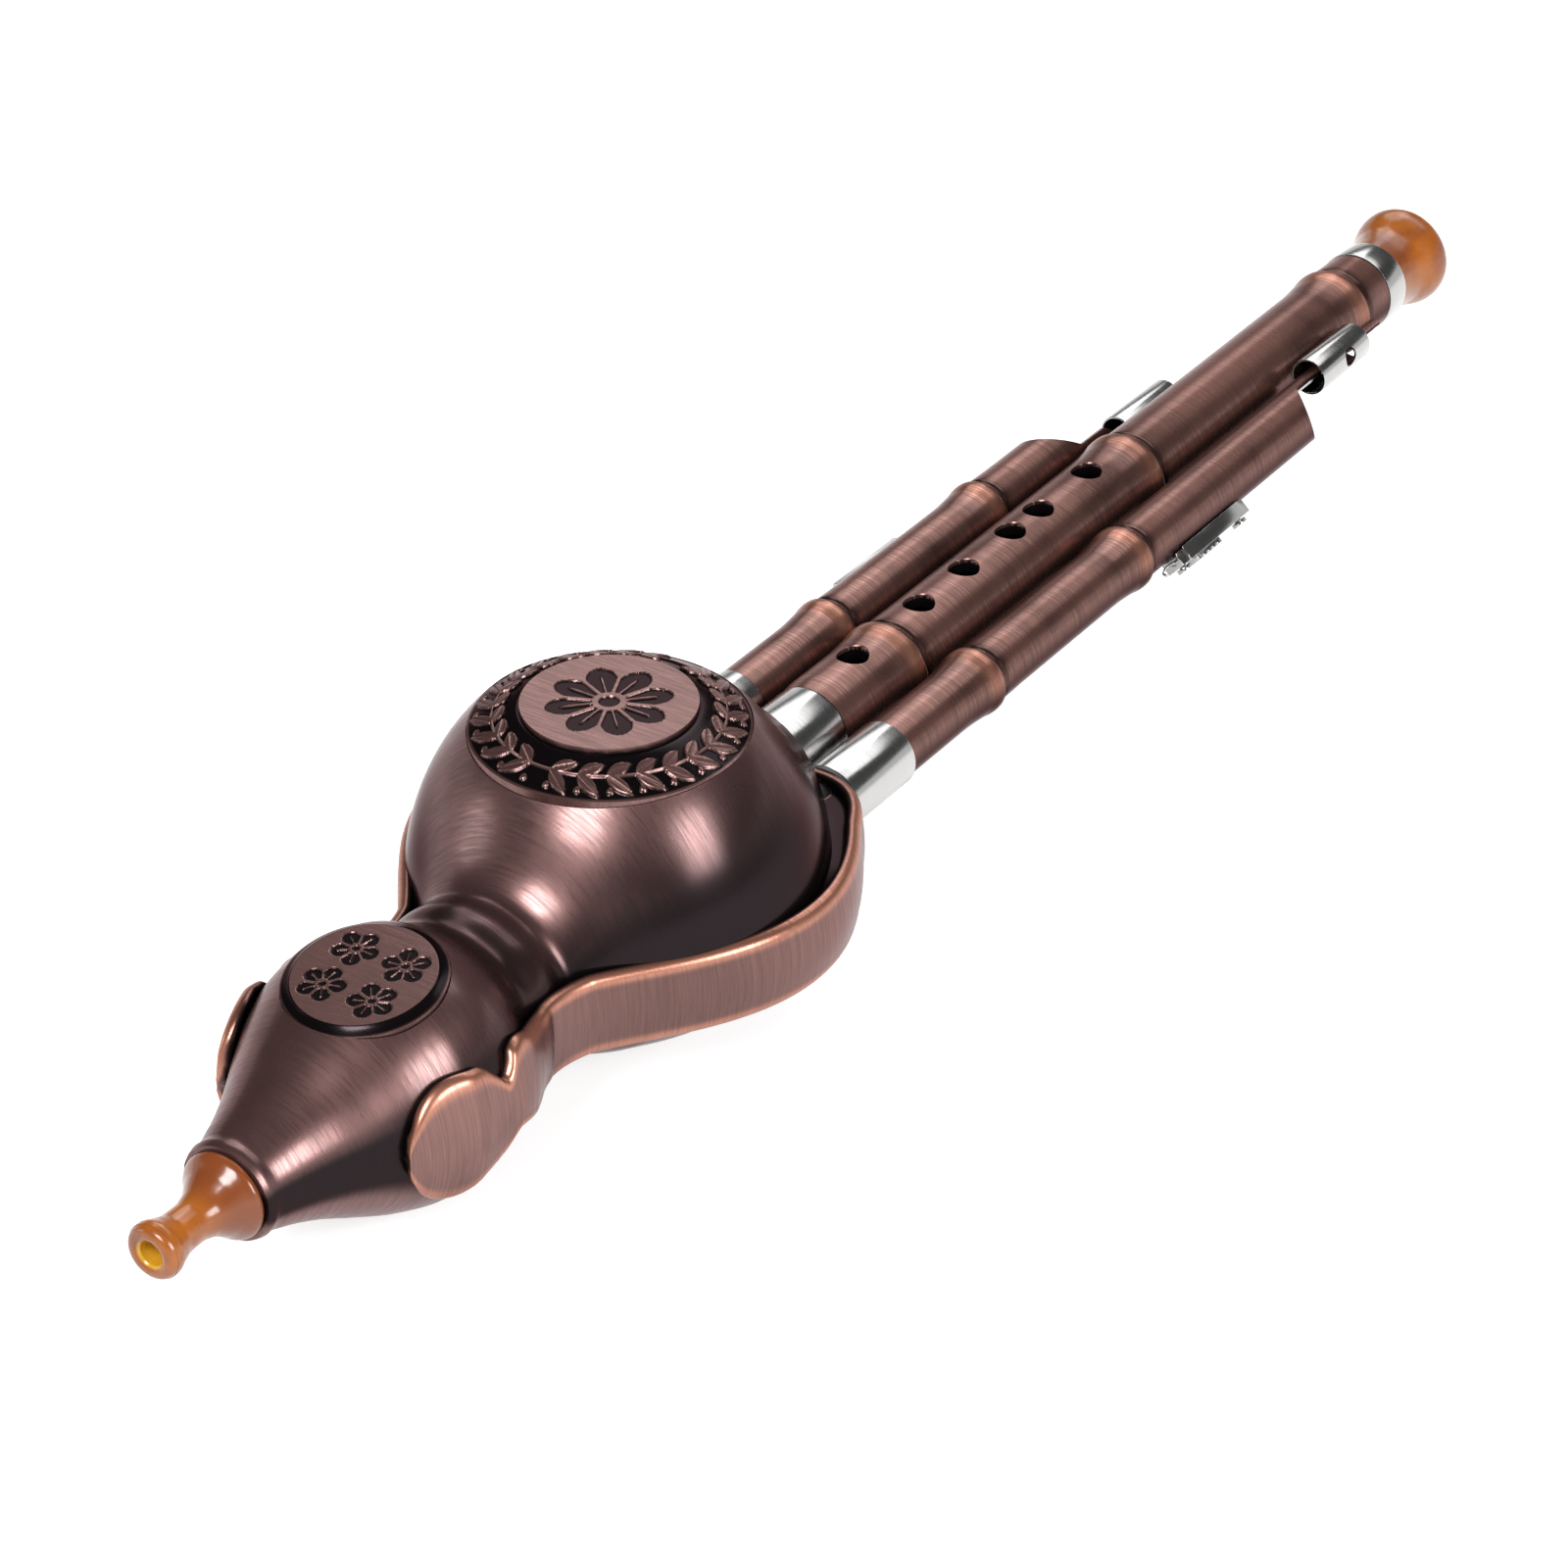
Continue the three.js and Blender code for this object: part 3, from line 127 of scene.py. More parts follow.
SIZES = {
    "lobe_radius": (39.0, "Half width of the lower lobe's dome"),
    "lobe_length": (38.0, "Half length of the lower lobe's dome"),
    "dome_depth": (46.0, "Height of the whole dome above the seam"),
    "back_depth": (27.0, "Depth of the whole back bulge below the seam"),
    "back_radius": (34.0, "Half width of the back bulge"),
    "wall": (2.4, "Thickness of the gourd's wall"),
    "band_height": (8.0, "Height of the side band above the seam"),
    "band_crown": (1.6, "How far the side band bulges at the seam"),
    "lip_radius": (1.45, "Radius of the rounded lip on the band's edge"),
    "ledge_drop": (0.8, "How far the ledge lies below the lip"),
    "blade_height": (12.4, "Half height of the band's rounded end"),
    "medallion_radius": (26.1, "Outer radius of the large medallion"),
    "medallion_edge": (34.6, "Height of the large medallion's edge"),
    "medallion_top": (39.7, "Height of the large medallion's middle"),
    "medallion_disc": (16.4, "Radius of the large medallion's raised middle"),
    "small_radius": (14.9, "Outer radius of the small medallion"),
    "small_disc": (13.1, "Radius of the small medallion's face"),
    "small_height": (21.0, "Height of the small medallion's edge above the seam"),
    "main_radius": (9.05, "Outside radius of the fingered pipe"),
    "main_joint_radius": (9.9, "Radius at the fingered pipe's bamboo joints"),
    "main_bore": (6.2, "Inside radius of the fingered pipe"),
    "hole_radius": (3.25, "Radius of the finger holes"),
    "drone_radius": (6.3, "Outside radius of the drones"),
    "drone_joint_radius": (7.2, "Radius at the drones' joints"),
    "drone_bore": (5.2, "Inside radius of the drones"),
    "drone_spacing": (17.4, "Distance from the main pipe's axis to a drone's"),
    "sleeve_radius": (4.15, "Outside radius of the tuning sleeves"),
    "bell_radius": (11.3, "Radius of the flared end"),
}
COLOURS = {
    "copper": ((0.15, 0.080, 0.075), "Rubbed copper plating"),
    # Warm copper is also a painted highlight on the band's lip and the joints' ridges.
    "warm_copper": ((0.44, 0.19, 0.125), "Bright copper on rubbed edges"),
    # Dark patina colour, also used as painted shade in creases, hollows, bores and pipe undersides.
    "patina": ((0.012, 0.009, 0.010), "Dark patina in hollows"),
    "nickel": ((0.42, 0.415, 0.41), "Polished nickel plating"),
    "nickel_lines": ((0.22, 0.22, 0.22), "Fine lines in the nickel"),
    "amber": ((0.35, 0.105, 0.011), "Amber resin"),
    "deep_amber": ((0.15, 0.034, 0.010), "Darker clouds in the resin"),
    # Painted glow: this yellow stands in for light shining through the resin in the bore.
    "painted_bore_glow": ((0.62, 0.33, 0.02), "Resin lit from within at the bore"),
    "black": ((0.012, 0.012, 0.013), "Moulded black plastic"),
    "brass": ((0.62, 0.43, 0.17), "Reeds and their holders"),
    "cork": ((0.42, 0.27, 0.15), "Cork seals"),
}


class HulusiShape(PropertyGroup):
    """Sizes of the visible surfaces"""
    __annotations__ = {name: length(name, *row) for name, row in SIZES.items()}


class HulusiFinish(PropertyGroup):
    """Colours of the finishes"""
    __annotations__ = {name: colour(name, *row) for name, row in COLOURS.items()}


def shape():
    """The sizes in millimetres."""
    group = bpy.context.scene.hulusi_shape
    return SimpleNamespace(**{name: getattr(group, name) / MM for name in SIZES})


def tint(name):
    """A finish's colour with full alpha."""
    return (*getattr(bpy.context.scene.hulusi_finish, name), 1.0)


def link_new(name, data):
    """New object in the scene."""
    thing = bpy.data.objects.new(name, data)
    bpy.context.scene.collection.objects.link(thing)
    return thing


# Curves and surfaces


def bezier(*corners, count=24):
    """Cubic curve through four corners: (1-t)^3 a + 3t(1-t)^2 b + 3t^2(1-t) c + t^3 d."""
    t = np.linspace(0.0, 1.0, count)[:, None]
    a, b, c, d = (np.array(corner, float) for corner in corners)
    return (1 - t) ** 3 * a + 3 * t * (1 - t) ** 2 * b + 3 * t**2 * (1 - t) * c + t**3 * d


def chain(*curves):
    """One run of points from curves that follow each other, without repeated points."""
    points = np.concatenate(curves)
    step = np.linalg.norm(np.diff(points, axis=0), axis=1)
    return points[np.concatenate([[True], step > 1e-6])]


def even(points, count):
    """The same run of points at equal steps along its length."""
    step = np.linalg.norm(np.diff(points, axis=0), axis=1)
    along = np.concatenate([[0.0], np.cumsum(step)])
    wanted = np.linspace(0.0, along[-1], count)
    return np.stack([np.interp(wanted, along, axis) for axis in points.T], 1)


def smooth_through(x, knots):
    """Smooth curve through (place, value) knots that never overshoots them: on each span a cubic
    whose end slopes are the harmonic mean of the two chords, and zero where they disagree."""
    places, values = np.array(knots, float).T
    width = np.diff(places)
    chord = np.diff(values) / width
    slope = np.zeros(len(places))
    product = chord[:-1] * chord[1:]
    total = chord[:-1] + chord[1:]
    agree = product > 0
    slope[1:-1][agree] = 2 * product[agree] / total[agree]
    x = np.clip(x, places[0], places[-1])
    k = np.clip(np.searchsorted(places, x, side="right") - 1, 0, len(width) - 1)
    w = width[k]
    t = (x - places[k]) / w
    rise = (3 - 2 * t) * t**2
    start = values[k] * (1 - rise) + values[k + 1] * rise
    return start + w * (slope[k] * t * (1 - t) ** 2 - slope[k + 1] * t**2 * (1 - t))


def smooth_max(a, b, blend):
    """Larger of two values with a rounded change-over as wide as blend."""
    return 0.5 * (a + b + np.sqrt((a - b) ** 2 + blend**2))


def smooth_step(value, low, high):
    """0 below low, 1 above high, and 3t^2 - 2t^3 between."""
    t = np.clip((value - low) / (high - low), 0.0, 1.0)
    return t * t * (3 - 2 * t)


def bell_curve(value, middle, width):
    """exp(-((value - middle) / width)^2)."""
    return np.exp(-(((value - middle) / width) ** 2))


def outline(y, knots):
    """(radius, place) points of a smooth curve through (place, radius) knots."""
    return np.stack([smooth_through(y, knots), y], 1)


def rounded(corners, radius):
    """Closed outline whose corners are replaced by quadratic arcs that start radius away."""
    corners = np.array(corners, float)
    t = np.linspace(0.0, 1.0, 4)[:, None]
    points = []
    for before, here, after in zip(np.roll(corners, 1, 0), corners, np.roll(corners, -1, 0)):
        ends = []
        for other in (before, after):
            side = other - here
            far = np.linalg.norm(side)
            ends.append(here + side / far * min(radius, far / 2))
        points.append((1 - t) ** 2 * ends[0] + 2 * t * (1 - t) * here + t**2 * ends[1])
    return np.concatenate(points)


def quads(rows, columns, close_rows=False, close_columns=False):
    """Faces of a grid of points that is stored row by row."""
    i = np.arange(rows if close_rows else rows - 1)[:, None]
    j = np.arange(columns if close_columns else columns - 1)[None, :]
    below, beside = (i + 1) % rows, (j + 1) % columns
    corners = [i * columns + j, i * columns + beside, below * columns + beside, below * columns + j]
    return np.stack(np.broadcast_arrays(*corners), -1).reshape(-1, 4)


def ring_solid(grid):
    """Closed solid from a grid that closes on itself both ways."""
    rows, columns = grid.shape[:2]
    return grid.reshape(-1, 3), quads(rows, columns, True, True)


def capped(grid):
    """Closed solid from a grid whose rows are rings, with a fan of faces in the first and last."""
    rows, columns = grid.shape[:2]
    fan = np.arange(columns - 2)[:, None] * [0, 1, 1, 1] + [0, 1, 2, 2]
    faces = [quads(rows, columns, False, True), fan, fan + (rows - 1) * columns]
    return grid.reshape(-1, 3), np.concatenate(faces)


def shell(outer, inner):
    """Closed solid between two grids of the same size, joined round their four edges."""
    rows, columns = outer.shape[:2]
    count = rows * columns
    skin = quads(rows, columns)
    index = np.arange(count).reshape(rows, columns)
    rim = np.concatenate([index[0, :-1], index[:-1, -1], index[-1, :0:-1], index[:0:-1, 0]])
    after = np.roll(rim, -1)
    sides = np.stack([rim, rim + count, after + count, after], -1)
    faces = np.concatenate([skin, skin[:, ::-1] + count, sides])
    return np.concatenate([outer.reshape(-1, 3), inner.reshape(-1, 3)]), faces


def round_axis(radius, along, angle, x=0.0, z=0.0):
    """Grid of points (x + radius sin a, along, z + radius cos a) round a line along Y."""
    return np.stack(np.broadcast_arrays(x + radius * np.sin(angle), along,
                                        z + radius * np.cos(angle)), -1)


def turned(profile, segments=96, x=0.0, z=0.0):
    """Closed solid of revolution about a line along Y from a loop of (radius, place) points."""
    angle = np.linspace(0.0, 2 * np.pi, segments, endpoint=False)[None, :]
    return ring_solid(round_axis(profile[:, :1], profile[:, 1:], angle, x, z))


def make_mesh(name, points, faces, masks=None):
    """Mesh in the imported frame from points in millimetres, with its faces turned outwards and
    optional masks on its points."""
    mesh = bpy.data.meshes.new(name)
    placed = np.asarray(points) * MM + ORIGIN
    listed = [tuple(dict.fromkeys(face)) for face in faces.tolist()]
    mesh.from_pydata(placed.tolist(), [], listed)
    for mask_name, values in (masks or {}).items():
        layer = mesh.attributes.new(mask_name, "FLOAT", "POINT")
        layer.data.foreach_set("value", np.asarray(values, np.float32).ravel())
    work = bmesh.new()
    work.from_mesh(mesh)
    bmesh.ops.recalc_face_normals(work, faces=work.faces)
    work.to_mesh(mesh)
    work.free()
    return mesh


def add_piece(name, mesh, look, body, node=None, sharp_from=32.0):
    """Adds a finished mesh that rides on a body and stands for its CAD node, shaded smooth but
    for edges that are sharper than an angle in degrees."""
    mesh.materials.clear()
    mesh.materials.append(finish(look))
    mesh.shade_smooth()
    mesh.set_sharp_from_angle(angle=math.radians(sharp_from))
    piece = link_new(name, mesh)
    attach(piece, body)
    if node:
        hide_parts(node)


def add_turned(name, profile, look, body, node, x=0.0):
    """Adds a solid of revolution."""
    add_piece(name, make_mesh(name, *turned(profile, x=x)), look, body, node)


def peg(radius, start, end, turn=Matrix(), top_radius=None, sides=64):
    """Round cutting tool along its own Z from start to end, in millimetres, then turned."""
    work = bmesh.new()
    middle = (Vector(start) + Vector(end)) / 2
    direction = Vector(end) - Vector(start)
    place = Matrix.Translation(middle) @ direction.to_track_quat("Z", "Y").to_matrix().to_4x4()
    bmesh.ops.create_cone(work, cap_ends=True, segments=sides, radius1=radius,
                          radius2=radius if top_radius is None else top_radius,
                          depth=direction.length, matrix=turn @ place)
    work.transform(Matrix.Translation(ORIGIN) @ Matrix.Scale(MM, 4))
    mesh = bpy.data.meshes.new("tool")
    work.to_mesh(mesh)
    work.free()
    return mesh


def cut(mesh, tools):
    """Takes cutting tools away from a closed mesh and gives the mesh that is left."""
    holder = link_new("cut_holder", mesh)
    cutters = [link_new("cutter", tool) for tool in tools]
    for cutter in cutters:
        step = holder.modifiers.new("cut", "BOOLEAN")
        step.operation, step.solver, step.object = "DIFFERENCE", "EXACT", cutter
    graph = bpy.context.evaluated_depsgraph_get()
    result = bpy.data.meshes.new_from_object(holder.evaluated_get(graph))
    for thing in (holder, *cutters):
        bpy.data.objects.remove(thing)
    return result


def softened(name, node, look, body, width):
    """A CAD node's own shape with its doubles merged, flat faces joined and edges rounded."""
    flat, sharp_from = 0.02, 0.6
    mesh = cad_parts[node].data.copy()
    work = bmesh.new()
    work.from_mesh(mesh)
    bmesh.ops.remove_doubles(work, verts=work.verts, dist=1e-6)
    bmesh.ops.dissolve_limit(work, angle_limit=flat, verts=work.verts, edges=work.edges)
    sharp = [edge for edge in work.edges
             if edge.is_manifold and edge.calc_face_angle(0.0) > sharp_from]
    bmesh.ops.bevel(work, geom=sharp, offset=width * MM, offset_type="OFFSET", segments=2,
                    profile=0.5, affect="EDGES", clamp_overlap=True)
    work.to_mesh(mesh)
    work.free()
    add_piece(name, mesh, look, body, node)


# Shader parts that several finishes share


def new_group(name, inputs, outputs):
    """Shader node group with named number sockets: its wiring, what it is given and its end."""
    group = bpy.data.node_groups.new(name, "ShaderNodeTree")
    for label, default in inputs.items():
        socket = group.interface.new_socket(name=label, in_out="INPUT",
                                            socket_type="NodeSocketFloat")
        socket.default_value = default
    for label in outputs:
        group.interface.new_socket(name=label, in_out="OUTPUT", socket_type="NodeSocketFloat")
    wire = Wiring(group)
    return wire, wire.add("NodeGroupInput").outputs, wire.add("NodeGroupOutput")


class Wiring:
    """Short ways to add and link nodes in one tree. Any value may be a number or a socket."""

    def __init__(self, tree):
        self.tree = tree

    def fill(self, node, inputs):
        """Links or sets a node's inputs."""
        for key, value in inputs.items():
            if isinstance(value, bpy.types.NodeSocket):
                self.tree.links.new(value, node.inputs[key])
            else:
                node.inputs[key].default_value = value

    def add(self, kind, inputs=None, **settings):
        """Adds a node with its properties and inputs."""
        node = self.tree.nodes.new(kind)
        for key, value in settings.items():
            setattr(node, key, value)
        self.fill(node, inputs or {})
        return node

    def group(self, name, inputs):
        """What a shared node group gives."""
        return self.add("ShaderNodeGroup", inputs, node_tree=bpy.data.node_groups[name]).outputs

    def maths(self, operation, *values):
        """A math node."""
        inputs = dict(enumerate(values))
        return self.add("ShaderNodeMath", inputs, operation=operation).outputs[0]

    def mix(self, factor, first, second):
        """A colour mix."""
        inputs = {0: factor, 6: first, 7: second}
        return self.add("ShaderNodeMix", inputs, data_type="RGBA").outputs[2]

    def range(self, value, low, high, start=0.0, end=1.0):
        """Value from low to high mapped smoothly to start to end, and held outside."""
        inputs = {"Value": value, "From Min": low, "From Max": high, "To Min": start, "To Max": end}
        node = self.add("ShaderNodeMapRange", inputs, interpolation_type="SMOOTHSTEP")
        return node.outputs["Result"]

    def noise(self, place, scale, detail, roughness=0.5):
        """Noise from 0 to 1."""
        inputs = {"Vector": place, "Scale": scale, "Detail": detail, "Roughness": roughness}
        return self.add("ShaderNodeTexNoise", inputs).outputs["Fac"]

    def bump(self, height, strength, depth):
        """Normals that a height bends."""
        inputs = {"Strength": strength, "Distance": depth, "Height": height}
        return self.add("ShaderNodeBump", inputs).outputs["Normal"]

    def mask(self, name):
        """A mask on the mesh's points."""
        return self.add("ShaderNodeAttribute", attribute_name=name).outputs["Fac"]

    def place(self, axis=None):
        """The piece's own coordinates, or one of them counted from the thumb hole."""
        whole = self.add("ShaderNodeTexCoord").outputs["Object"]
        if axis is None:
            return whole
        split = self.add("ShaderNodeSeparateXYZ", {0: whole}).outputs[axis]
        return self.maths("SUBTRACT", split, float(ORIGIN["XYZ".index(axis)]))

    def distance(self, x, z):
        """sqrt(x^2 + z^2)."""
        squares = self.maths("ADD", self.maths("MULTIPLY", x, x), self.maths("MULTIPLY", z, z))
        return self.maths("SQRT", squares)


def brushing_group():
    """Fine brushed lines round the instrument's length: noise that changes fast along Y and
    slowly across. Lines is 0 to 1, and Height is the same for a bump."""
    wire, given, end = new_group("Brushed lines", {"Lines per metre": 1200.0, "Run": 30.0},
                                 ("Lines", "Height"))
    scale = wire.add("ShaderNodeCombineXYZ", {"X": given["Run"], "Y": given["Lines per metre"],
                                              "Z": given["Run"]}).outputs[0]
    stretched = wire.add("ShaderNodeVectorMath", {0: wire.place(), 1: scale},
                         operation="MULTIPLY").outputs[0]
    both = wire.maths("ADD", wire.maths("MULTIPLY", wire.noise(stretched, 1.0, 3.0, 0.6), 0.75),
                      wire.maths("MULTIPLY", wire.noise(stretched, 0.45, 2.0), 0.25))
    wire.fill(end, {"Lines": wire.range(both, 0.3, 0.7), "Height": both})


def patina_group():
    """Uneven dark patina: soft clouds of noise, shifted by Amount. Mask is 1 where it is dark."""
    wire, given, end = new_group("Patina clouds", {"Amount": 0.0, "Cloud scale": 40.0}, ("Mask",))
    clouds = wire.noise(wire.place(), given["Cloud scale"], 4.0, 0.55)
    level = wire.maths("ADD", clouds, given["Amount"])
    wire.fill(end, {"Mask": wire.range(level, 0.35, 0.85)})


def blank_material(name):
    """Wiring and Principled shader of a new material."""
    material = bpy.data.materials.new(name)
    material.use_nodes = True
    return Wiring(material.node_tree), material.node_tree.nodes["Principled BSDF"]


def inside_of_pipes(wire, height):
    """1 nearer to a pipe's axis than its wall, counted from the main pipe's axis or from the
    drone's on the same side."""
    s = shape()
    across = wire.maths("ABSOLUTE", wire.place("X"))
    on_drone = wire.maths("GREATER_THAN", across, (s.drone_spacing / 2 + 1) * MM)
    across = wire.maths("MULTIPLY_ADD", on_drone, -s.drone_spacing * MM, across)
    limit = wire.maths("MULTIPLY_ADD", on_drone, (s.drone_radius - s.main_radius) * MM,
                       (s.main_radius - 0.75) * MM)
    return wire.maths("LESS_THAN", wire.distance(across, height), limit)


def copper_finish(name, lines, run, dark, warm, roughness, bump, streaks, lip=False, pipe=False):
    """Antique copper plating under thin lacquer: brushed lines and patina clouds. The
    ground mask is 1 on dark patterns and on painted shade in hollows and
    creases, and the lip mask is 1 on bright copper that is partly rubbed wear and partly a painted
    highlight. A pipe also gets painted shade on its underside and in its bore."""
    wire, shader = blank_material(name)
    brushed = wire.group("Brushed lines", {"Lines per metre": lines, "Run": run})
    clouds = wire.group("Patina clouds", {"Amount": dark})["Mask"]
    base = wire.mix(warm, tint("copper"), tint("warm_copper"))
    if lip:
        # Bright copper on the lip mask: partly rubbed wear, partly a painted highlight.
        base = wire.mix(wire.mask("lip"), base, tint("warm_copper"))
    base = wire.mix(wire.maths("MULTIPLY", brushed["Lines"], streaks), base, tint("patina"))
    # Patina clouds joined with the painted shade of the ground mask.
    patina_and_painted_shade = wire.maths("MAXIMUM", wire.maths("MULTIPLY", clouds, 0.7), wire.mask("ground"))
    if pipe:
        # Painted shade: a pipe turns dark towards its underside and inside its bore.
        height, dark_to, clear_from = wire.place("Z"), -2.5 * MM, 5.0 * MM
        under = wire.range(height, dark_to, clear_from, 0.95, 0.0)
        painted_shade_below_and_in_bore = wire.maths("MAXIMUM", under, inside_of_pipes(wire, height))
        patina_and_painted_shade = wire.maths("MAXIMUM", patina_and_painted_shade, painted_shade_below_and_in_bore)
    rough = wire.range(brushed["Lines"], 0.0, 1.0, *roughness)
    polish = wire.add("ShaderNodeMix", {0: patina_and_painted_shade, 2: rough, 3: 0.2}, data_type="FLOAT")
    wire.fill(shader, {"Base Color": wire.mix(patina_and_painted_shade, base, tint("patina")),
                       "Roughness": polish.outputs[0], "Metallic": 0.85,
                       "Specular IOR Level": 0.2, "Specular Tint": (0.55, 0.45, 0.45, 1.0),
                       "Coat Weight": wire.range(patina_and_painted_shade, 0.0, 1.0, 0.3, 0.02),
                       "Coat Roughness": 0.2,
                       "Normal": wire.bump(brushed["Height"], bump, 0.00005)})


def nickel_finish(name):
    """Mirror nickel with very fine polishing lines."""
    wire, shader = blank_material(name)
    lines = wire.group("Brushed lines", {"Lines per metre": 2600.0, "Run": 40.0})["Lines"]
    base = wire.mix(wire.maths("MULTIPLY", lines, 0.12), tint("nickel"), tint("nickel_lines"))
    wire.fill(shader, {"Base Color": base, "Metallic": 1.0,
                       "Roughness": wire.range(lines, 0.0, 1.0, 0.17, 0.22)})


def amber_finish(name):
    """Amber resin: clear and deep, with clouds of a darker brown, darkest where the mouthpiece
    meets the neck, and a painted glow of yellow light in the mouthpiece's bore, nearer than 3 mm to
    the axis."""
    wire, shader = blank_material(name)
    clouds = wire.group("Patina clouds", {"Amount": 0.06, "Cloud scale": 110.0})["Mask"]
    along = wire.place("Y")
    near_neck = wire.range(along, (NECK_AT - 13) * MM, (NECK_AT - 4) * MM, 0.0, 0.85)
    near_neck = wire.maths("MULTIPLY", near_neck, wire.range(along, -0.02, 0.0, 1.0, 0.0))
    darker = wire.maths("MAXIMUM", clouds, near_neck)
    base = wire.mix(darker, tint("amber"), tint("deep_amber"))
    away, bore_radius = wire.distance(wire.place("X"), wire.place("Z")), 3.0
    # Painted glow of light in the bore.
    painted_glow_in_bore = wire.range(away, (bore_radius - 0.5) * MM, bore_radius * MM, 1.0, 0.0)
    wire.fill(shader, {"Base Color": wire.mix(painted_glow_in_bore, base, tint("painted_bore_glow")),
                       "Roughness": wire.range(clouds, 0.0, 1.0, 0.2, 0.3),
                       "Transmission Weight": 0.3, "IOR": 1.54, "Specular IOR Level": 0.3,
                       "Coat Weight": 0.1, "Coat Roughness": 0.1})


def plain_finish(name, colour_name, roughness, grain, depth, metallic=0.0):
    """Moulded or cut material: its colour and roughness vary with a fine grain."""
    wire, shader = blank_material(name)
    fac = wire.noise(wire.place(), grain, 4.0)
    value = tint(colour_name)
    darker = (*(channel * 0.55 for channel in value[:3]), 1.0)
    rough = wire.range(fac, 0.3, 0.7, roughness - 0.06, roughness + 0.06)
    wire.fill(shader, {"Base Color": wire.mix(fac, value, darker), "Roughness": rough,
                       "Metallic": metallic, "Normal": wire.bump(fac, 0.4, depth)})


# Finishes: the slot of the pieces that they go on, what makes them and its settings.
LOOKS = {
    "gourd copper": ("copper_plating", copper_finish, dict(
        lines=2800.0, run=150.0, dark=-0.14, warm=0.0, roughness=(0.27, 0.42), bump=0.2,
        streaks=0.4)),
    "band copper": ("copper_plating", copper_finish, dict(
        lines=3200.0, run=90.0, dark=-0.1, warm=0.1, roughness=(0.28, 0.4), bump=0.15,
        streaks=0.3, lip=True)),
    "relief copper": ("copper_plating", copper_finish, dict(
        lines=2600.0, run=150.0, dark=-0.2, warm=0.05, roughness=(0.26, 0.4), bump=0.25,
        streaks=0.3)),
    "pipe copper": ("copper_plating", copper_finish, dict(
        lines=2800.0, run=90.0, dark=-0.04, warm=0.26, roughness=(0.26, 0.4), bump=0.2,
        streaks=0.5, lip=True, pipe=True)),
    "polished nickel": ("nickel_plating", nickel_finish, {}),
    "amber resin": ("amber_resin", amber_finish, {}),
    "black plastic": ("black_plastic", plain_finish, dict(
        colour_name="black", roughness=0.38, grain=300.0, depth=0.00004)),
    "reed brass": (None, plain_finish, dict(
        colour_name="brass", roughness=0.28, grain=500.0, depth=0.00001, metallic=1.0)),
    "cork": (None, plain_finish, dict(
        colour_name="cork", roughness=0.85, grain=900.0, depth=0.0002)),
    "rubber": (None, plain_finish, dict(
        colour_name="black", roughness=0.7, grain=700.0, depth=0.00003)),
}


def finish(name):
    """A finish by name, made the first time that it is asked for."""
    if name not in bpy.data.materials:
        maker, settings = LOOKS[name][1:]
        maker(name, **settings)
    return bpy.data.materials[name]


# The gourd


def neck_and_lobes(y):
    """Radius of the turned gourd: a thin neck, the upper lobe, the waist and the skirt."""
    return smooth_through(y, [
        (NECK_AT, NECK_RADIUS), (-178.0, 10.6), (-170.0, 13.9), (-162.0, 18.2), (-154.0, 22.2),
        (-146.0, 24.8), (-139.5, 25.3), (-131.0, 23.4), (-123.0, 18.6), (WAIST_AT - 1, 17.0),
        (-111.0, 17.6), (-104.0, 22.0), (-95.0, 28.5), (-80.0, 34.6), (SKIRT_AT, 36.5),
        (-50.0, 32.6), (-38.0, 25.4), (-30.0, 19.0), (FACE_AT, 16.5)])


def gourd_radius(y, angle, inset, front):
    """Distance from the axis to the gourd's skin, in the direction angle from +X: the turned
    body and the lobe's half ellipsoid, which keeps the share sqrt(1 - (y / half length)^2) of its
    width and depth at y, blended, with the waist's rounded collar on top."""
    s = shape()
    lobe_blend, collar_blend, collar_radius = 3.5, 1.6, 18.6
    half_length = (s.lobe_length if front else s.back_radius) - inset
    share = np.sqrt(np.clip(1 - ((y - LOWER_LOBE_AT) / half_length) ** 2, 1e-6, 1))
    width = ((s.lobe_radius if front else s.back_radius) - inset) * share
    depth = ((s.dome_depth if front else s.back_depth / back_share(y)) - inset) * share
    lobe = 1 / np.sqrt((np.cos(angle) / width) ** 2 + (np.sin(angle) / depth) ** 2)
    skin = smooth_max(neck_and_lobes(y) - inset, lobe, lobe_blend)
    collar = collar_radius - inset - 0.055 * (y - WAIST_AT + 0.5) ** 2
    return smooth_max(skin, np.maximum(collar, 1.0), collar_blend)


def back_share(y):
    """Share of its depth that the back keeps, so that it lies flat under the lower lobe."""
    upper = smooth_step(y, UPPER_LOBE_AT, LOWER_LOBE_AT)
    lower = smooth_step(y, LOWER_LOBE_AT, FACE_AT)
    return 1 - 0.38 * upper + 0.18 * lower


def gourd_painted_shade(grid):
    """Painted shade on the skin, dark in the crease at the band and in the waist's hollow: 1 at the
    seam, fading out between half and nearly the whole of the height that the skin has there, and a
    bell curve round the waist."""
    y, z = grid[..., 1], np.abs(grid[..., 2])
    share = z / np.maximum(z.max(axis=1, keepdims=True), 1.0)
    fade = (0.5 + 0.24 * smooth_step(y, -168, -146)
            + 0.16 * smooth_step(y, WAIST_AT - 6, WAIST_AT + 14))
    seam = 0.98 * (1 - smooth_step(share, 0.45 * fade, fade))
    return np.maximum(seam, 0.72 * bell_curve(y, WAIST_AT - 4, 8.0))


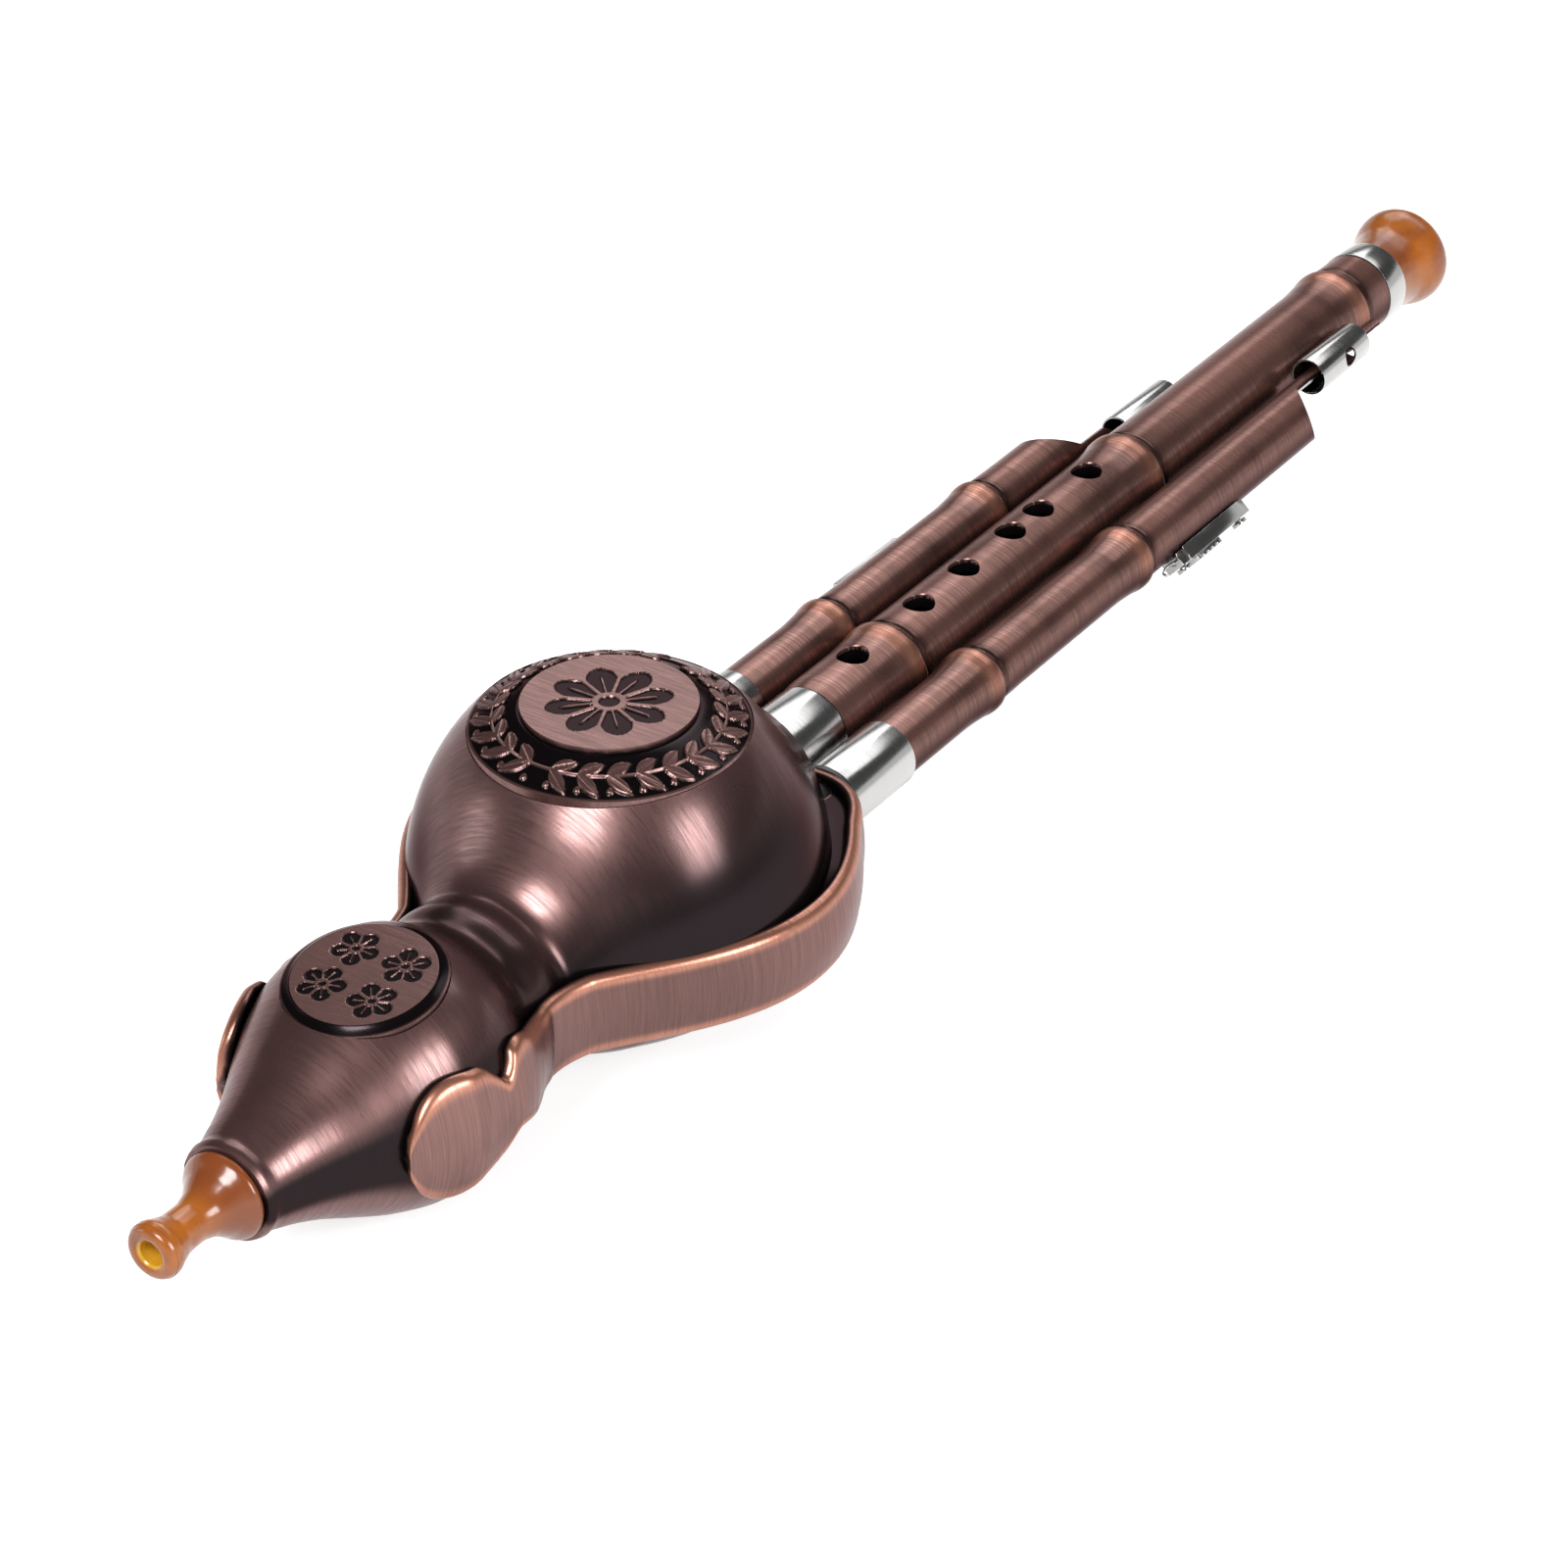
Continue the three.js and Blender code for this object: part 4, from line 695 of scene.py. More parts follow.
def gourd_skin(inset, front):
    """Half of the gourd's skin as a grid: rows run from the neck's mouth, which has a low rounded
    ring outside, over the lobes to the middle of the face, columns half round from +X to -X."""
    start, end = NECK_AT + inset * 0.4, FACE_AT - GAP - inset
    mouth, middle, face = 6, 236, 8
    y = np.concatenate([np.full(mouth, start), np.linspace(start, end, middle),
                        np.full(face, end)])[:, None]
    scale = np.concatenate([np.linspace((NECK_BORE + inset * 0.2) / NECK_RADIUS, 0.97, mouth),
                            np.ones(middle), np.linspace(0.97, 0.04, face)])[:, None]
    angle = np.linspace(0.0, np.pi, 141)[None, :]
    radius = gourd_radius(y, angle, inset, front) * scale
    if inset == 0:
        radius = radius + 0.55 * bell_curve(y, NECK_AT + 1.2, 1.1) * (scale > 0.95)
    z = radius * np.sin(angle) * (1 if front else -back_share(y))
    return np.stack(np.broadcast_arrays(radius * np.cos(angle), y, z), -1)


def socket_tools():
    """Cutting tools for the three pipe sockets in the gourd's face."""
    s = shape()
    bores = ((0.0, MAIN_SOCKET_RADIUS), (-s.drone_spacing, DRONE_SOCKET_RADIUS),
             (s.drone_spacing, DRONE_SOCKET_RADIUS))
    return [peg(radius, (x, FACE_AT - 26, 0), (x, FACE_AT + 6, 0)) for x, radius in bores]


def band_plan():
    """The band at the seam, seen from the front, from the middle of the face to its rounded end:
    curves round the lower lobe, and an offset of the upper lobe behind the waist."""
    corner, widest, waist = 24.0, BAND_HALF_WIDTH, 20.9
    joins = [(corner - 5.5, FACE_AT), (corner + 10, FACE_AT - 11.6), (widest, SKIRT_AT),
             (waist + 1.5, SKIRT_AT - 42.5), (waist - 0.2, WAIST_AT - 2.5)]
    lower = chain(
        bezier((0, FACE_AT), (6, FACE_AT), (12, FACE_AT), joins[0]),
        bezier(joins[0], (corner + 4, FACE_AT), (corner + 7.6, FACE_AT - 7.3), joins[1]),
        bezier(joins[1], (widest - 4.2, FACE_AT - 20), (widest, FACE_AT - 28.5), joins[2]),
        bezier(joins[2], (widest, SKIRT_AT - 19), (waist + 8.5, SKIRT_AT - 32), joins[3]),
        bezier(joins[3], (waist, WAIST_AT + 3.5), (waist - 0.5, WAIST_AT), joins[4]),
    )
    upper = outline(np.arange(WAIST_AT - 2.75, END_BLADE_TIP_AT, -0.25),
                    [(END_BLADE_TIP_AT, 21.2), (-160.0, 22.5), (-157.0, 24.1), (-154.0, 25.4),
                     (-151.0, 26.5), (-147.5, 27.4), (-137.0, 27.4), (-132.0, 26.4),
                     (-128.0, 24.7), (-124.0, 22.8), (-121.0, 21.6), joins[4][::-1]])
    return chain(lower, upper)


def band_height(x, y, side):
    """Height of the band's lip above or below the seam: a strip, a hump, a notch and a rounded
    blade, all lower at the back, and an arch over the main pipe on the face."""
    s = shape()
    strip = {1: [(-145.5, 11.7), (-142.2, 8.9), (-140.2, 7.0), (-138.6, 8.3), (-136.6, 10.9),
                 (-134.0, 11.3), (-128.0, 9.5), (-121.0, s.band_height)],
             -1: [(-146.0, 10.2), (-141.5, 8.0), (-137.0, 5.0), (-132.5, 6.2), (-125.0, 8.0),
                  (-100.0, s.band_height + 0.6), (-60.0, s.band_height + 0.8)]}[side]
    height = smooth_through(y, [(END_BLADE_AT - 0.01, s.blade_height), *strip,
                                (FACE_AT, s.band_height)])
    end = np.clip(1 - ((y - END_BLADE_AT) / (END_BLADE_TIP_AT - END_BLADE_AT)) ** 2, 0, 1)
    height = np.where(y < END_BLADE_AT, s.blade_height * np.sqrt(end), height)
    arch = 9.5 * np.cos(np.clip(np.abs(x) / 17.0, 0, 1) * np.pi / 2) ** 1.7
    return height + np.where(y > FACE_AT - 1.5, arch, 0.0)


def band_route(side):
    """The whole band from one rounded end over the face to the other: points on its edge, its
    outward direction seen from the front, and its half height."""
    half = even(band_plan(), 320)
    route = np.concatenate([half[::-1] * [-1, 1], half[1:]])
    ahead = np.gradient(route, axis=0)
    ahead /= np.linalg.norm(ahead, axis=1)[:, None]
    outward = ahead[:, ::-1] * [-1, 1]
    return route, outward, band_height(*route.T, side)


def band_lean(y, edge, height):
    """How much narrower the band is at a height than at the seam: 1 - crown (z / h)^2 on the
    lower lobe, and the circle sqrt(1 - (z / r)^2) on the upper lobe, blended at the waist."""
    s = shape()
    lower = 1 - s.band_crown / BAND_HALF_WIDTH * np.clip(height / s.band_height, 0, 1) ** 2
    upper = np.sqrt(np.clip(1 - (height / np.maximum(np.abs(edge), 15.0)) ** 2, 0.1, 1))
    share = smooth_step(y, WAIST_AT - 9, WAIST_AT - 2)
    return share * lower + (1 - share) * upper


def band_mesh(name, side):
    """Closed strip on one side of the seam. At each point of the route a loop goes up the wall,
    over the round lip, down to the ledge, in across it and back down inside. The masks are lip,
    up to 0.9 on the outer half of the rounded edge, bright copper that is partly rubbed wear and
    partly a painted highlight, and ground, painted shade of 1 on its inner
    side and the ledge, with a bell curve of 0.34 of painted shade on the wall where the band comes
    round the lower lobe."""
    s = shape()
    route, outward, height = band_route(side)
    x, y = route[:, :1], route[:, 1:]
    overhang = 0.15
    lip = np.minimum(s.lip_radius, 0.42 * height + 0.05)[:, None]
    near_end = smooth_step(y, END_BLADE_TIP_AT, END_BLADE_TIP_AT + 5)
    depth = 3.6 + near_end + 3.6 * smooth_step(y, WAIST_AT - 10, WAIST_AT + 20)
    top = np.maximum(height[:, None] - lip, 0.03)
    floor = np.maximum(top - s.ledge_drop, 0.02)
    inner = overhang - 2 * lip - 0.1
    # A loop has 15 points up the wall, 10 round the lip, 4 across the ledge and 1 at the seam.
    up = np.linspace(0.0, 1.0, 15)[None, :]
    turn = np.linspace(0.0, 1.0, 11)[None, 1:] * np.pi
    ledge = np.array([[0.0, 0.12, 0.5, 1.0]])
    ledge_ends = np.array([[0.25, 0.0, 0.0, 0.3]])
    out = np.concatenate([overhang * smooth_step(up, 0.7, 1.0) * np.ones_like(top),
                          overhang - lip + lip * np.cos(turn),
                          inner + (-depth - inner) * ledge, -depth], 1)
    rise = np.concatenate([top * up, top + lip * np.sin(turn), floor + ledge_ends * near_end,
                           np.zeros_like(top)], 1)
    grid = np.stack([(x + outward[:, :1] * out) * band_lean(y, x, rise),
                     y + outward[:, 1:] * out, side * rise], -1)
    # Bright copper on the lip: partly rubbed wear, partly a painted highlight.
    rubbed_and_highlit_lip = np.concatenate([0.8 * smooth_step(up, 0.8, 1.0)[0],
                             [0.9, 0.9, 0.9, 0.8, 0.4, 0.1], np.zeros(9)])
    # Painted shade on the inner side and the ledge below the lip.
    painted_ledge_shade = np.concatenate([np.zeros(18), [0.1, 0.35, 0.7, 0.9], np.ones(8)])
    # Painted shade of 0.34 on the wall where the band comes round the lower lobe.
    shaded = 0.34 * bell_curve(y, -94, 24)
    masks = {"lip": np.tile(rubbed_and_highlit_lip, len(route)),
             "ground": np.maximum(painted_ledge_shade, shaded * (1 - rubbed_and_highlit_lip))}
    return make_mesh(name, *capped(grid), masks)


class HULUSI_OT_gourd(Operator):
    """Builds the gourd's two shells and the side bands with their rounded lips"""
    bl_idname = "hulusi.gourd"
    bl_label = "Build gourd"

    def execute(self, context):
        s = shape()
        seats = {
            "front": [peg(s.medallion_radius + GAP / 2, (0, MEDALLION_AT, s.medallion_edge - 2.2),
                          (0, MEDALLION_AT, s.dome_depth + 3), sides=160),
                      peg(s.small_radius + GAP / 2, (0, 0, -1.6), (0, 0, 14),
                          small_medallion_turn(), sides=128)],
            "back": [peg(BACK_DISC_RADIUS + GAP / 2, (0, MEDALLION_AT, -22.6),
                         (0, MEDALLION_AT, -32), sides=96)],
        }
        for name, side in (("front", 1), ("back", -1)):
            outer = gourd_skin(0.0, side > 0)
            ground = gourd_painted_shade(outer).ravel()
            # Painted shade: the dome darkens towards the seam and round the waist, and the inner
            # skin is painted shade all over.
            skin = make_mesh(f"gourd_{name}_skin", *shell(outer, gourd_skin(s.wall, side > 0)),
                             {"ground": np.concatenate([ground, np.ones_like(ground)])})
            skin = cut(skin, socket_tools() + seats[name])
            add_piece(f"gourd_{name}_skin", skin, "gourd copper", "gourd",
                      f"gourd_{name}_shell", 40)
            band = cut(band_mesh(f"gourd_{name}_band", side), socket_tools())
            add_piece(f"gourd_{name}_band", band, "band copper", "gourd")
        return {"FINISHED"}


# Medallions


def small_medallion_turn():
    """Place and tilt of the small medallion's edge, from its own flat frame."""
    s = shape()
    tilt = Matrix.Rotation(math.radians(9), 4, "X")
    return Matrix.Translation((0, SMALL_MEDALLION_AT, s.small_height)) @ tilt


def leaf_mask(x, y, root, heading, size, width):
    """1 inside a pointed leaf: its half width is width sin(pi t)^0.8 (1 - 0.35 t) at the share t
    of its length."""
    along = (x - root[0]) * math.cos(heading) + (y - root[1]) * math.sin(heading)
    across = (y - root[1]) * math.cos(heading) - (x - root[0]) * math.sin(heading)
    t = np.clip(along / size, 0, 1)
    half = width * np.sin(np.pi * t) ** 0.8 * (1 - 0.35 * t)
    inside = smooth_step(half - np.abs(across), -0.05, 0.18)
    return np.where((along > 0) & (along < size), inside, 0.0), across


def wreath(x, y, middle):
    """Raised wreath on a ring of radius middle: leaves in pairs along two branches, berries
    between them and a stem. Gives height from 0 to 1."""
    height = np.zeros_like(x)
    stations = 12
    for branch in (-1, 1):
        for k in range(stations):
            bearing = -np.pi / 2 + branch * (0.10 + k * (np.pi - 0.2) / stations)
            root = (middle * math.cos(bearing), middle * math.sin(bearing))
            ahead = bearing + branch * np.pi / 2
            for lean, size in ((0.62, 6.2), (-0.55, 5.2)):
                leaf, across = leaf_mask(x, y, root, ahead - branch * lean, size, 1.5)
                vein = 1 - 0.45 * bell_curve(across, 0.0, 0.16)
                height = np.maximum(height, leaf * vein)
            reach = middle + 2.9
            berry = (reach * math.cos(bearing + 0.03), reach * math.sin(bearing + 0.03))
            apart = np.hypot(x - berry[0], y - berry[1])
            height = np.maximum(height, smooth_step(0.75 - apart, 0.0, 0.3))
    stem = smooth_step(0.28 - np.abs(np.hypot(x, y) - middle), 0.0, 0.2)
    return np.maximum(height, stem * 0.8)


def blossom(x, y, centre, radius, petals, turn=0.0):
    """Dark cut-out of a flower: petals that end at r = radius (0.62 + 0.38 |cos(n a / 2)|), parted
    by thin gaps, each with a bright vein, round a bright ring and a dark heart. Gives 0 to 1."""
    dx, dy = x - centre[0], y - centre[1]
    away = np.hypot(dx, dy)
    angle = np.arctan2(dy, dx) + turn
    wave = np.abs(np.cos(petals * angle / 2))
    outline = radius * (0.62 + 0.38 * wave**0.8)
    petal = smooth_step(outline - away, 0.0, 0.15) * smooth_step(away, radius * 0.27, radius * 0.31)
    parting = smooth_step(wave * away, radius * 0.10, radius * 0.16)
    vein = np.abs(np.sin(petals * angle / 2)) * away
    light = smooth_step(vein, radius * 0.045, radius * 0.09)
    inner = smooth_step(away, radius * 0.72, radius * 0.78)
    petal = petal * parting * np.maximum(light, inner)
    heart = smooth_step(radius * 0.17 - away, 0.0, 0.12)
    return np.maximum(petal, heart)


def dish_mesh(name, radii, columns, surface, floor, wall_painted_shade, turn):
    """Closed disc from circles of the given radii. The surface function gives heights and the
    ground mask, an outer wall, whose painted shade is wall_painted_shade,
    goes down to a flat bottom, and turn puts it in its place."""
    angle = np.linspace(0.0, 2 * np.pi, columns, endpoint=False)[None, :]
    radius = np.broadcast_to(radii[:, None], (len(radii), columns))
    x, y = radius * np.cos(angle), radius * np.sin(angle)
    z, ground = surface(x, y, radius)
    rim = np.stack([x[-1], y[-1], np.full(columns, floor)], -1)[None]
    points, faces = capped(np.concatenate([np.stack([x, y, z], -1), rim, rim * [0.002, 0.002, 1]]))
    ground = np.concatenate([ground, np.full((2, columns), wall_painted_shade)])
    turn = np.array(turn)
    return make_mesh(name, points @ turn[:3, :3].T + turn[:3, 3], faces, {"ground": ground})


def large_medallion_mesh(name):
    """Raised disc with a flower, a step, and a sloping dark ring that carries the wreath."""
    s = shape()
    disc, edge = s.medallion_disc, s.medallion_radius
    step, relief, engraving = s.medallion_top - 1.1, 0.55, 0.35

    def surface(x, y, radius):
        outer = radius > disc + 0.06
        share = np.clip((radius - disc - 0.4) / (edge - disc - 0.4), 0, 1)
        slope = step - (step - s.medallion_edge) * share**1.25
        on_ring = smooth_step(radius, disc + 0.5, disc + 0.9) * smooth_step(edge - radius, 0.5, 0.9)
        raised = wreath(x, y, (disc + edge) / 2 + 0.2) * on_ring
        strokes = blossom(x, y, (0, 0), 11.8, 8) * (radius < disc - 0.6)
        ground = np.where(outer, 1 - smooth_step(raised, 0.25, 0.6), strokes)
        z = np.where(outer, slope, s.medallion_top) + relief * raised - engraving * strokes
        return z, ground * smooth_step(edge - radius, 0.25, 0.6)

    radii = np.r_[np.linspace(0.05, disc - 0.3, 66), disc - 0.12, disc, disc + 0.12,
                  np.linspace(disc + 0.5, edge - 0.5, 62), edge - 0.25, edge]
    place = Matrix.Translation((0, MEDALLION_AT, 0))
    return dish_mesh(name, radii, 640, surface, s.medallion_edge - 1.7, 0.0, place)


def small_medallion_mesh(name):
    """Flat face with four small flowers and a bevel darkened with painted shade, tilted with the
    upper lobe.
    """
    s = shape()
    disc, edge, thick, engraving = s.small_disc, s.small_radius, 1.2, 0.3

    def surface(x, y, radius):
        bevel = thick * np.clip((radius - disc) / (edge - disc), 0, 1) ** 0.8
        strokes = np.zeros_like(x)
        for k, centre in enumerate(((-5.4, 4.9), (5.2, 5.1), (-5.2, -5.2), (5.3, -4.8))):
            strokes = np.maximum(strokes, blossom(x, y, centre, 4.6, 5, turn=0.5 * k))
        # Painted shade: the bevel outside the face is dark all over; the flowers' strokes are dark
        # engraving.
        ground = np.where(radius > disc - 0.1, 1.0, strokes) * smooth_step(edge - radius, 0.05, 0.3)
        return thick - bevel - engraving * strokes * (radius < disc - 0.5), ground

    radii = np.r_[np.linspace(0.05, disc - 0.3, 84), disc - 0.12, disc, disc + 0.15,
                  np.linspace(disc + 0.5, edge - 0.2, 6), edge]
    # The medallion's outer wall is painted shade too.
    return dish_mesh(name, radii, 480, surface, -thick, 1.0, small_medallion_turn())


def back_medallion_mesh(name):
    """Plain disc with a fine raised rim, which the instrument lies on."""

    def surface(x, y, radius):
        face = np.where(radius > 12.7, -25.6, -25.35)
        return face + 0.25 * smooth_step(radius, 13.7, BACK_DISC_RADIUS), np.zeros_like(x)

    radii = np.r_[np.linspace(0.05, 12.4, 8), 12.6, 12.8, 13.7, 13.9, BACK_DISC_RADIUS]
    place = Matrix.Translation((0, MEDALLION_AT, 0))
    return dish_mesh(name, radii, 160, surface, -23.2, 0.0, place)


class HULUSI_OT_medallions(Operator):
    """Builds the large, small and back medallions with their generic wreath and flowers"""
    bl_idname = "hulusi.medallions"
    bl_label = "Build medallions"

    def execute(self, context):
        for node, build in (("large_medallion", large_medallion_mesh),
                            ("small_medallion", small_medallion_mesh),
                            ("back_medallion", back_medallion_mesh)):
            name = f"{node}_face"
            add_piece(name, build(name), "relief copper", "gourd", node, 50)
        return {"FINISHED"}


# Mouthpiece and end bell


class HULUSI_OT_mouthpiece(Operator):
    """Builds the turned amber mouthpiece"""
    bl_idname = "hulusi.mouthpiece"
    bl_label = "Build mouthpiece"

    def execute(self, context):
        base = NECK_AT - GAP
        tip = base - 20.4
        outside = outline(np.linspace(tip + 1.6, base - 0.5, 60),
                          [(tip + 1.6, 5.4), (tip + 2.4, 5.45), (tip + 4.6, 4.75),
                           (tip + 7.2, 4.0), (tip + 10.5, 3.9), (base - 6.8, 4.5),
                           (base - 3.6, 6.3), (base - 0.5, 8.5)])
        end = bezier((2.4, tip + 0.9), (2.9, tip - 0.2), (5.1, tip - 0.1), (5.3, tip + 1.6),
                     count=12)
        tenon = [(8.4, base), (4.3, base), (4.2, base + 0.3), (4.2, base + 9.7),
                 (3.9, base + 10), (2.4, base + 10)]
        add_turned("mouthpiece_amber", chain(end, outside, tenon), "amber resin", "mouthpiece",
                   "mouthpiece")
        return {"FINISHED"}


class HULUSI_OT_bell(Operator):
    """Builds the flared amber bell and the ring that it sits in"""
    bl_idname = "hulusi.bell"
    bl_label = "Build end bell"

    def execute(self, context):
        flared = shape().bell_radius
        start, end = BELL_START_AT, BELL_END_AT
        outside = outline(np.linspace(start, end - 3.0, 40),
                          [(start, 8.4), (start + 3.5, 8.55), (start + 7.5, 9.2),
                           (end - 6, 10.7), (end - 4.2, flared - 0.1), (end - 3.0, flared)])
        rim = bezier((flared, end - 3), (flared, end - 0.6), (9.9, end), (9.2, end), count=14)
        inside = bezier((9.2, end), (7.6, end - 0.3), (5.2, end - 4), (5.2, start + 4), count=20)
        spigot = [(5.2, start - 7), (5.6, start - 7), (5.9, start - 6.7), (5.9, start - 0.1)]
        add_turned("end_bell_amber", chain(outside, rim, inside, spigot), "amber resin",
                   "main_pipe", "end_bell")
        ring = tube_outline(8.5, 9.2, RING_SEAT_AT + GAP, MAIN_END_AT, 0.3)
        add_turned("bell_ring", ring, "polished nickel", "main_pipe", "bell_ferrule")
        return {"FINISHED"}


# Pipes


def tube_outline(inner, outer, start, end, soft):
    """Outline of a plain open tube with rounded rims."""
    return rounded([(inner, start), (outer, start), (outer, end), (inner, end)], soft)


def joint_swell(y, places, rise):
    """Added radius of bamboo joints: a swelling up to a ridge, and a narrow groove behind."""
    knots = [(-11.0, 0.0), (-4.0, 0.45), (-0.5, 1.0), (0.5, 0.95), (1.3, 0.1), (2.0, -0.2),
             (3.0, 0.12), (5.0, 0.1), (11.0, 0.0)]
    return sum(rise * smooth_through(y - at, knots) for at in places)


def pipe_masks(y, radius, bore, places):
    """Masks along a pipe: lip is up to 0.85 on the ridge of each joint, partly rubbed copper and
    partly a painted highlight, and ground is painted shade, 1 inside the pipe and
    up to 0.7 in bell curves on both sides of a joint."""
    # Painted highlight on each joint's ridge, over rubbed copper.
    lip = sum(0.85 * bell_curve(y, at - 1.4, 2.4) for at in places)
    # Painted shade in the pipe's bore and beside each joint.
    behind = sum(0.7 * bell_curve(y, at + 2.4, 2.0) for at in places)
    before = sum(0.3 * bell_curve(y, at - 10.0, 4.0) for at in places)
    inside = (radius < bore + 0.3) * 1.0
    return {"lip": lip, "ground": np.maximum(inside, np.maximum(behind, before))}


def pipe_body(start, end, places, radius, joint_radius):
    """Outline of a pipe's outside: points far apart on plain stretches and close together at its
    joints."""
    rows = [np.arange(start, end, 3.0), [end]]
    rows += [np.arange(at - 11.0, at + 11.2, 0.35) for at in places]
    y = np.unique(np.concatenate(rows).round(3))
    y = y[(y >= start) & (y <= end)]
    return np.stack([radius + joint_swell(y, places, joint_radius - radius), y], 1)


class HULUSI_OT_main_pipe(Operator):
    """Builds the main pipe with its joints, finger holes and thumb hole"""
    bl_idname = "hulusi.main_pipe"
    bl_label = "Build main pipe"

    def execute(self, context):
        s = shape()
        wall, bore, hole, segments = s.main_radius, s.main_bore, s.hole_radius, 128
        head = [(6.2, TENON_START_AT), (7.3, TENON_START_AT), (7.3, FERRULE_AT),
                (7.85, FERRULE_AT), (7.85, MAIN_SEAT_END), (wall - 0.4, MAIN_SEAT_END)]
        body = pipe_body(MAIN_SEAT_END, RING_SEAT_AT, MAIN_JOINTS_AT, wall, s.main_joint_radius)
        tail = [(8.2, RING_SEAT_AT), (8.2, MAIN_END_AT), (bore, MAIN_END_AT)]
        inside = np.linspace(MAIN_END_AT - 5, TENON_START_AT + 5, 30)
        profile = chain(head, body, tail, np.stack([np.full(30, bore), inside], 1))
        radius, along = (np.repeat(profile[:, k], segments) for k in (0, 1))
        mesh = make_mesh("main_pipe_tube", *turned(profile, segments),
                         pipe_masks(along, radius, bore, MAIN_JOINTS_AT))
        tools = []
        for at in FINGER_HOLES_AT:
            tools += [peg(hole, (0, at, 2), (0, at, 12)),
                      peg(hole, (0, at, wall - 0.45), (0, at, wall + 0.55),
                          top_radius=hole + 0.8)]
        tools.append(peg(hole, (0, 0, -12), (0, 0, -2)))
        add_piece("main_pipe_tube", cut(mesh, tools), "pipe copper", "main_pipe", "main_pipe", 40)
        return {"FINISHED"}


# The drones: side of the main pipe, where the cut starts and how far it slants, the directions
# that the cut and the tongue face, and where the tongue and the tuning sleeve are.
DRONES = {
    "left": SimpleNamespace(side=-1, cut=107.6, slant=17.0, cut_turn=math.radians(145),
                            tongue=math.radians(138), tip=164.0, sleeve=135.6, shoulder=True),
    "right": SimpleNamespace(side=1, cut=153.4, slant=14.8, cut_turn=math.radians(-114),
                             tongue=math.radians(-42), tip=197.6, sleeve=168.8, shoulder=False),
}


def drone_end(angle, d):
    """Where the drone's wall ends at an angle round it: the slanting mouth
    cut + slant (1 + cos(a - turn)) / 2, a shoulder that rises beside the tongue, and the tongue."""
    mouth = d.cut + d.slant * (1 + np.cos(angle - d.cut_turn)) / 2
    off = np.abs((angle - d.tongue + np.pi) % (2 * np.pi) - np.pi)
    if d.shoulder:
        raised = d.cut + 8 + d.slant * (1 + np.cos(off)) / 2
        mouth = np.where(off < SHOULDER_HALF_ANGLE, np.maximum(mouth, raised), mouth)
    tip = d.tip - d.slant / 4 * (1 - np.cos(off))
    return np.where(off < TONGUE_HALF_ANGLE, tip, mouth)


def drone_mesh(name, d):
    """Drone pipe as a closed grid: rows follow its outline, and the last stretch is scaled in
    each column to end at the cut or the tongue's tip. Columns are added at each step in it."""
    s = shape()
    wall, bore, tenon_bore = s.drone_radius, s.drone_bore, 3.5
    columns, end_rows, bore_rows = 112, 25, 20
    last = d.cut - 4
    head = [(tenon_bore, TENON_START_AT), (4.5, TENON_START_AT), (4.5, FERRULE_AT),
            (5.9, FERRULE_AT), (5.9, DRONE_SEAT_END), (6.2, DRONE_SEAT_END)]
    fixed = chain(head, pipe_body(DRONE_SEAT_END, last, DRONE_JOINTS_AT, wall,
                                  s.drone_joint_radius))
    steps = [(TONGUE_HALF_ANGLE, 0.0015)] + [(SHOULDER_HALF_ANGLE, 0.01)] * d.shoulder
    marks = [d.tongue + side * half + gap * near for half, gap in steps
             for side in (-1, 1) for near in (-1, 1)]
    angle = np.concatenate([np.linspace(0, 2 * np.pi, columns, endpoint=False), marks])
    angle = np.unique((angle % (2 * np.pi)).round(5))[None, :]
    share = np.linspace(0.0, 1.0, end_rows + 1)[1:, None]
    out = last + share * (drone_end(angle, d) - last)
    back = np.linspace(last, DRONE_SEAT_END + 2, bore_rows)[:, None]
    flat = np.ones_like(angle)
    along = np.concatenate([fixed[:, 1:] * flat, out, out[::-1], back * flat])
    radius = np.concatenate([fixed[:, 0], np.full(end_rows, wall), np.full(end_rows, bore),
                             np.linspace(bore, tenon_bore, bore_rows)])[:, None] * flat
    grid = round_axis(radius, along, angle, d.side * s.drone_spacing)
    return make_mesh(f"{name}_drone_tube", *ring_solid(grid),
                     pipe_masks(along, radius, bore, DRONE_JOINTS_AT))


def switch_hole_tool(name):
    """Cutting tool for the tone hole under a drone's switch."""
    middle = np.mean(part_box(f"{name}_switch_pad"), axis=0)
    point = (middle - ORIGIN) / MM
    axis = np.array([math.copysign(shape().drone_spacing, point[0]), point[1], 0.0])
    away = (point - axis) / np.linalg.norm(point - axis)
    return peg(1.2, axis + away * 3.5, axis + away * 9, sides=32)


def liner_mesh(name, d):
    """Thin curved plate inside the tongue."""
    s = shape()
    angle = d.tongue + np.linspace(-1, 1, 24)[None, :] * math.radians(27)
    along = np.linspace(d.cut - d.slant, d.tip - d.slant / 2, 12)[:, None]
    grids = [round_axis(s.drone_bore - inset, along, angle, d.side * s.drone_spacing)
             for inset in (0.3, 0.8)]
    return make_mesh(f"{name}_tongue_liner", *shell(*grids))


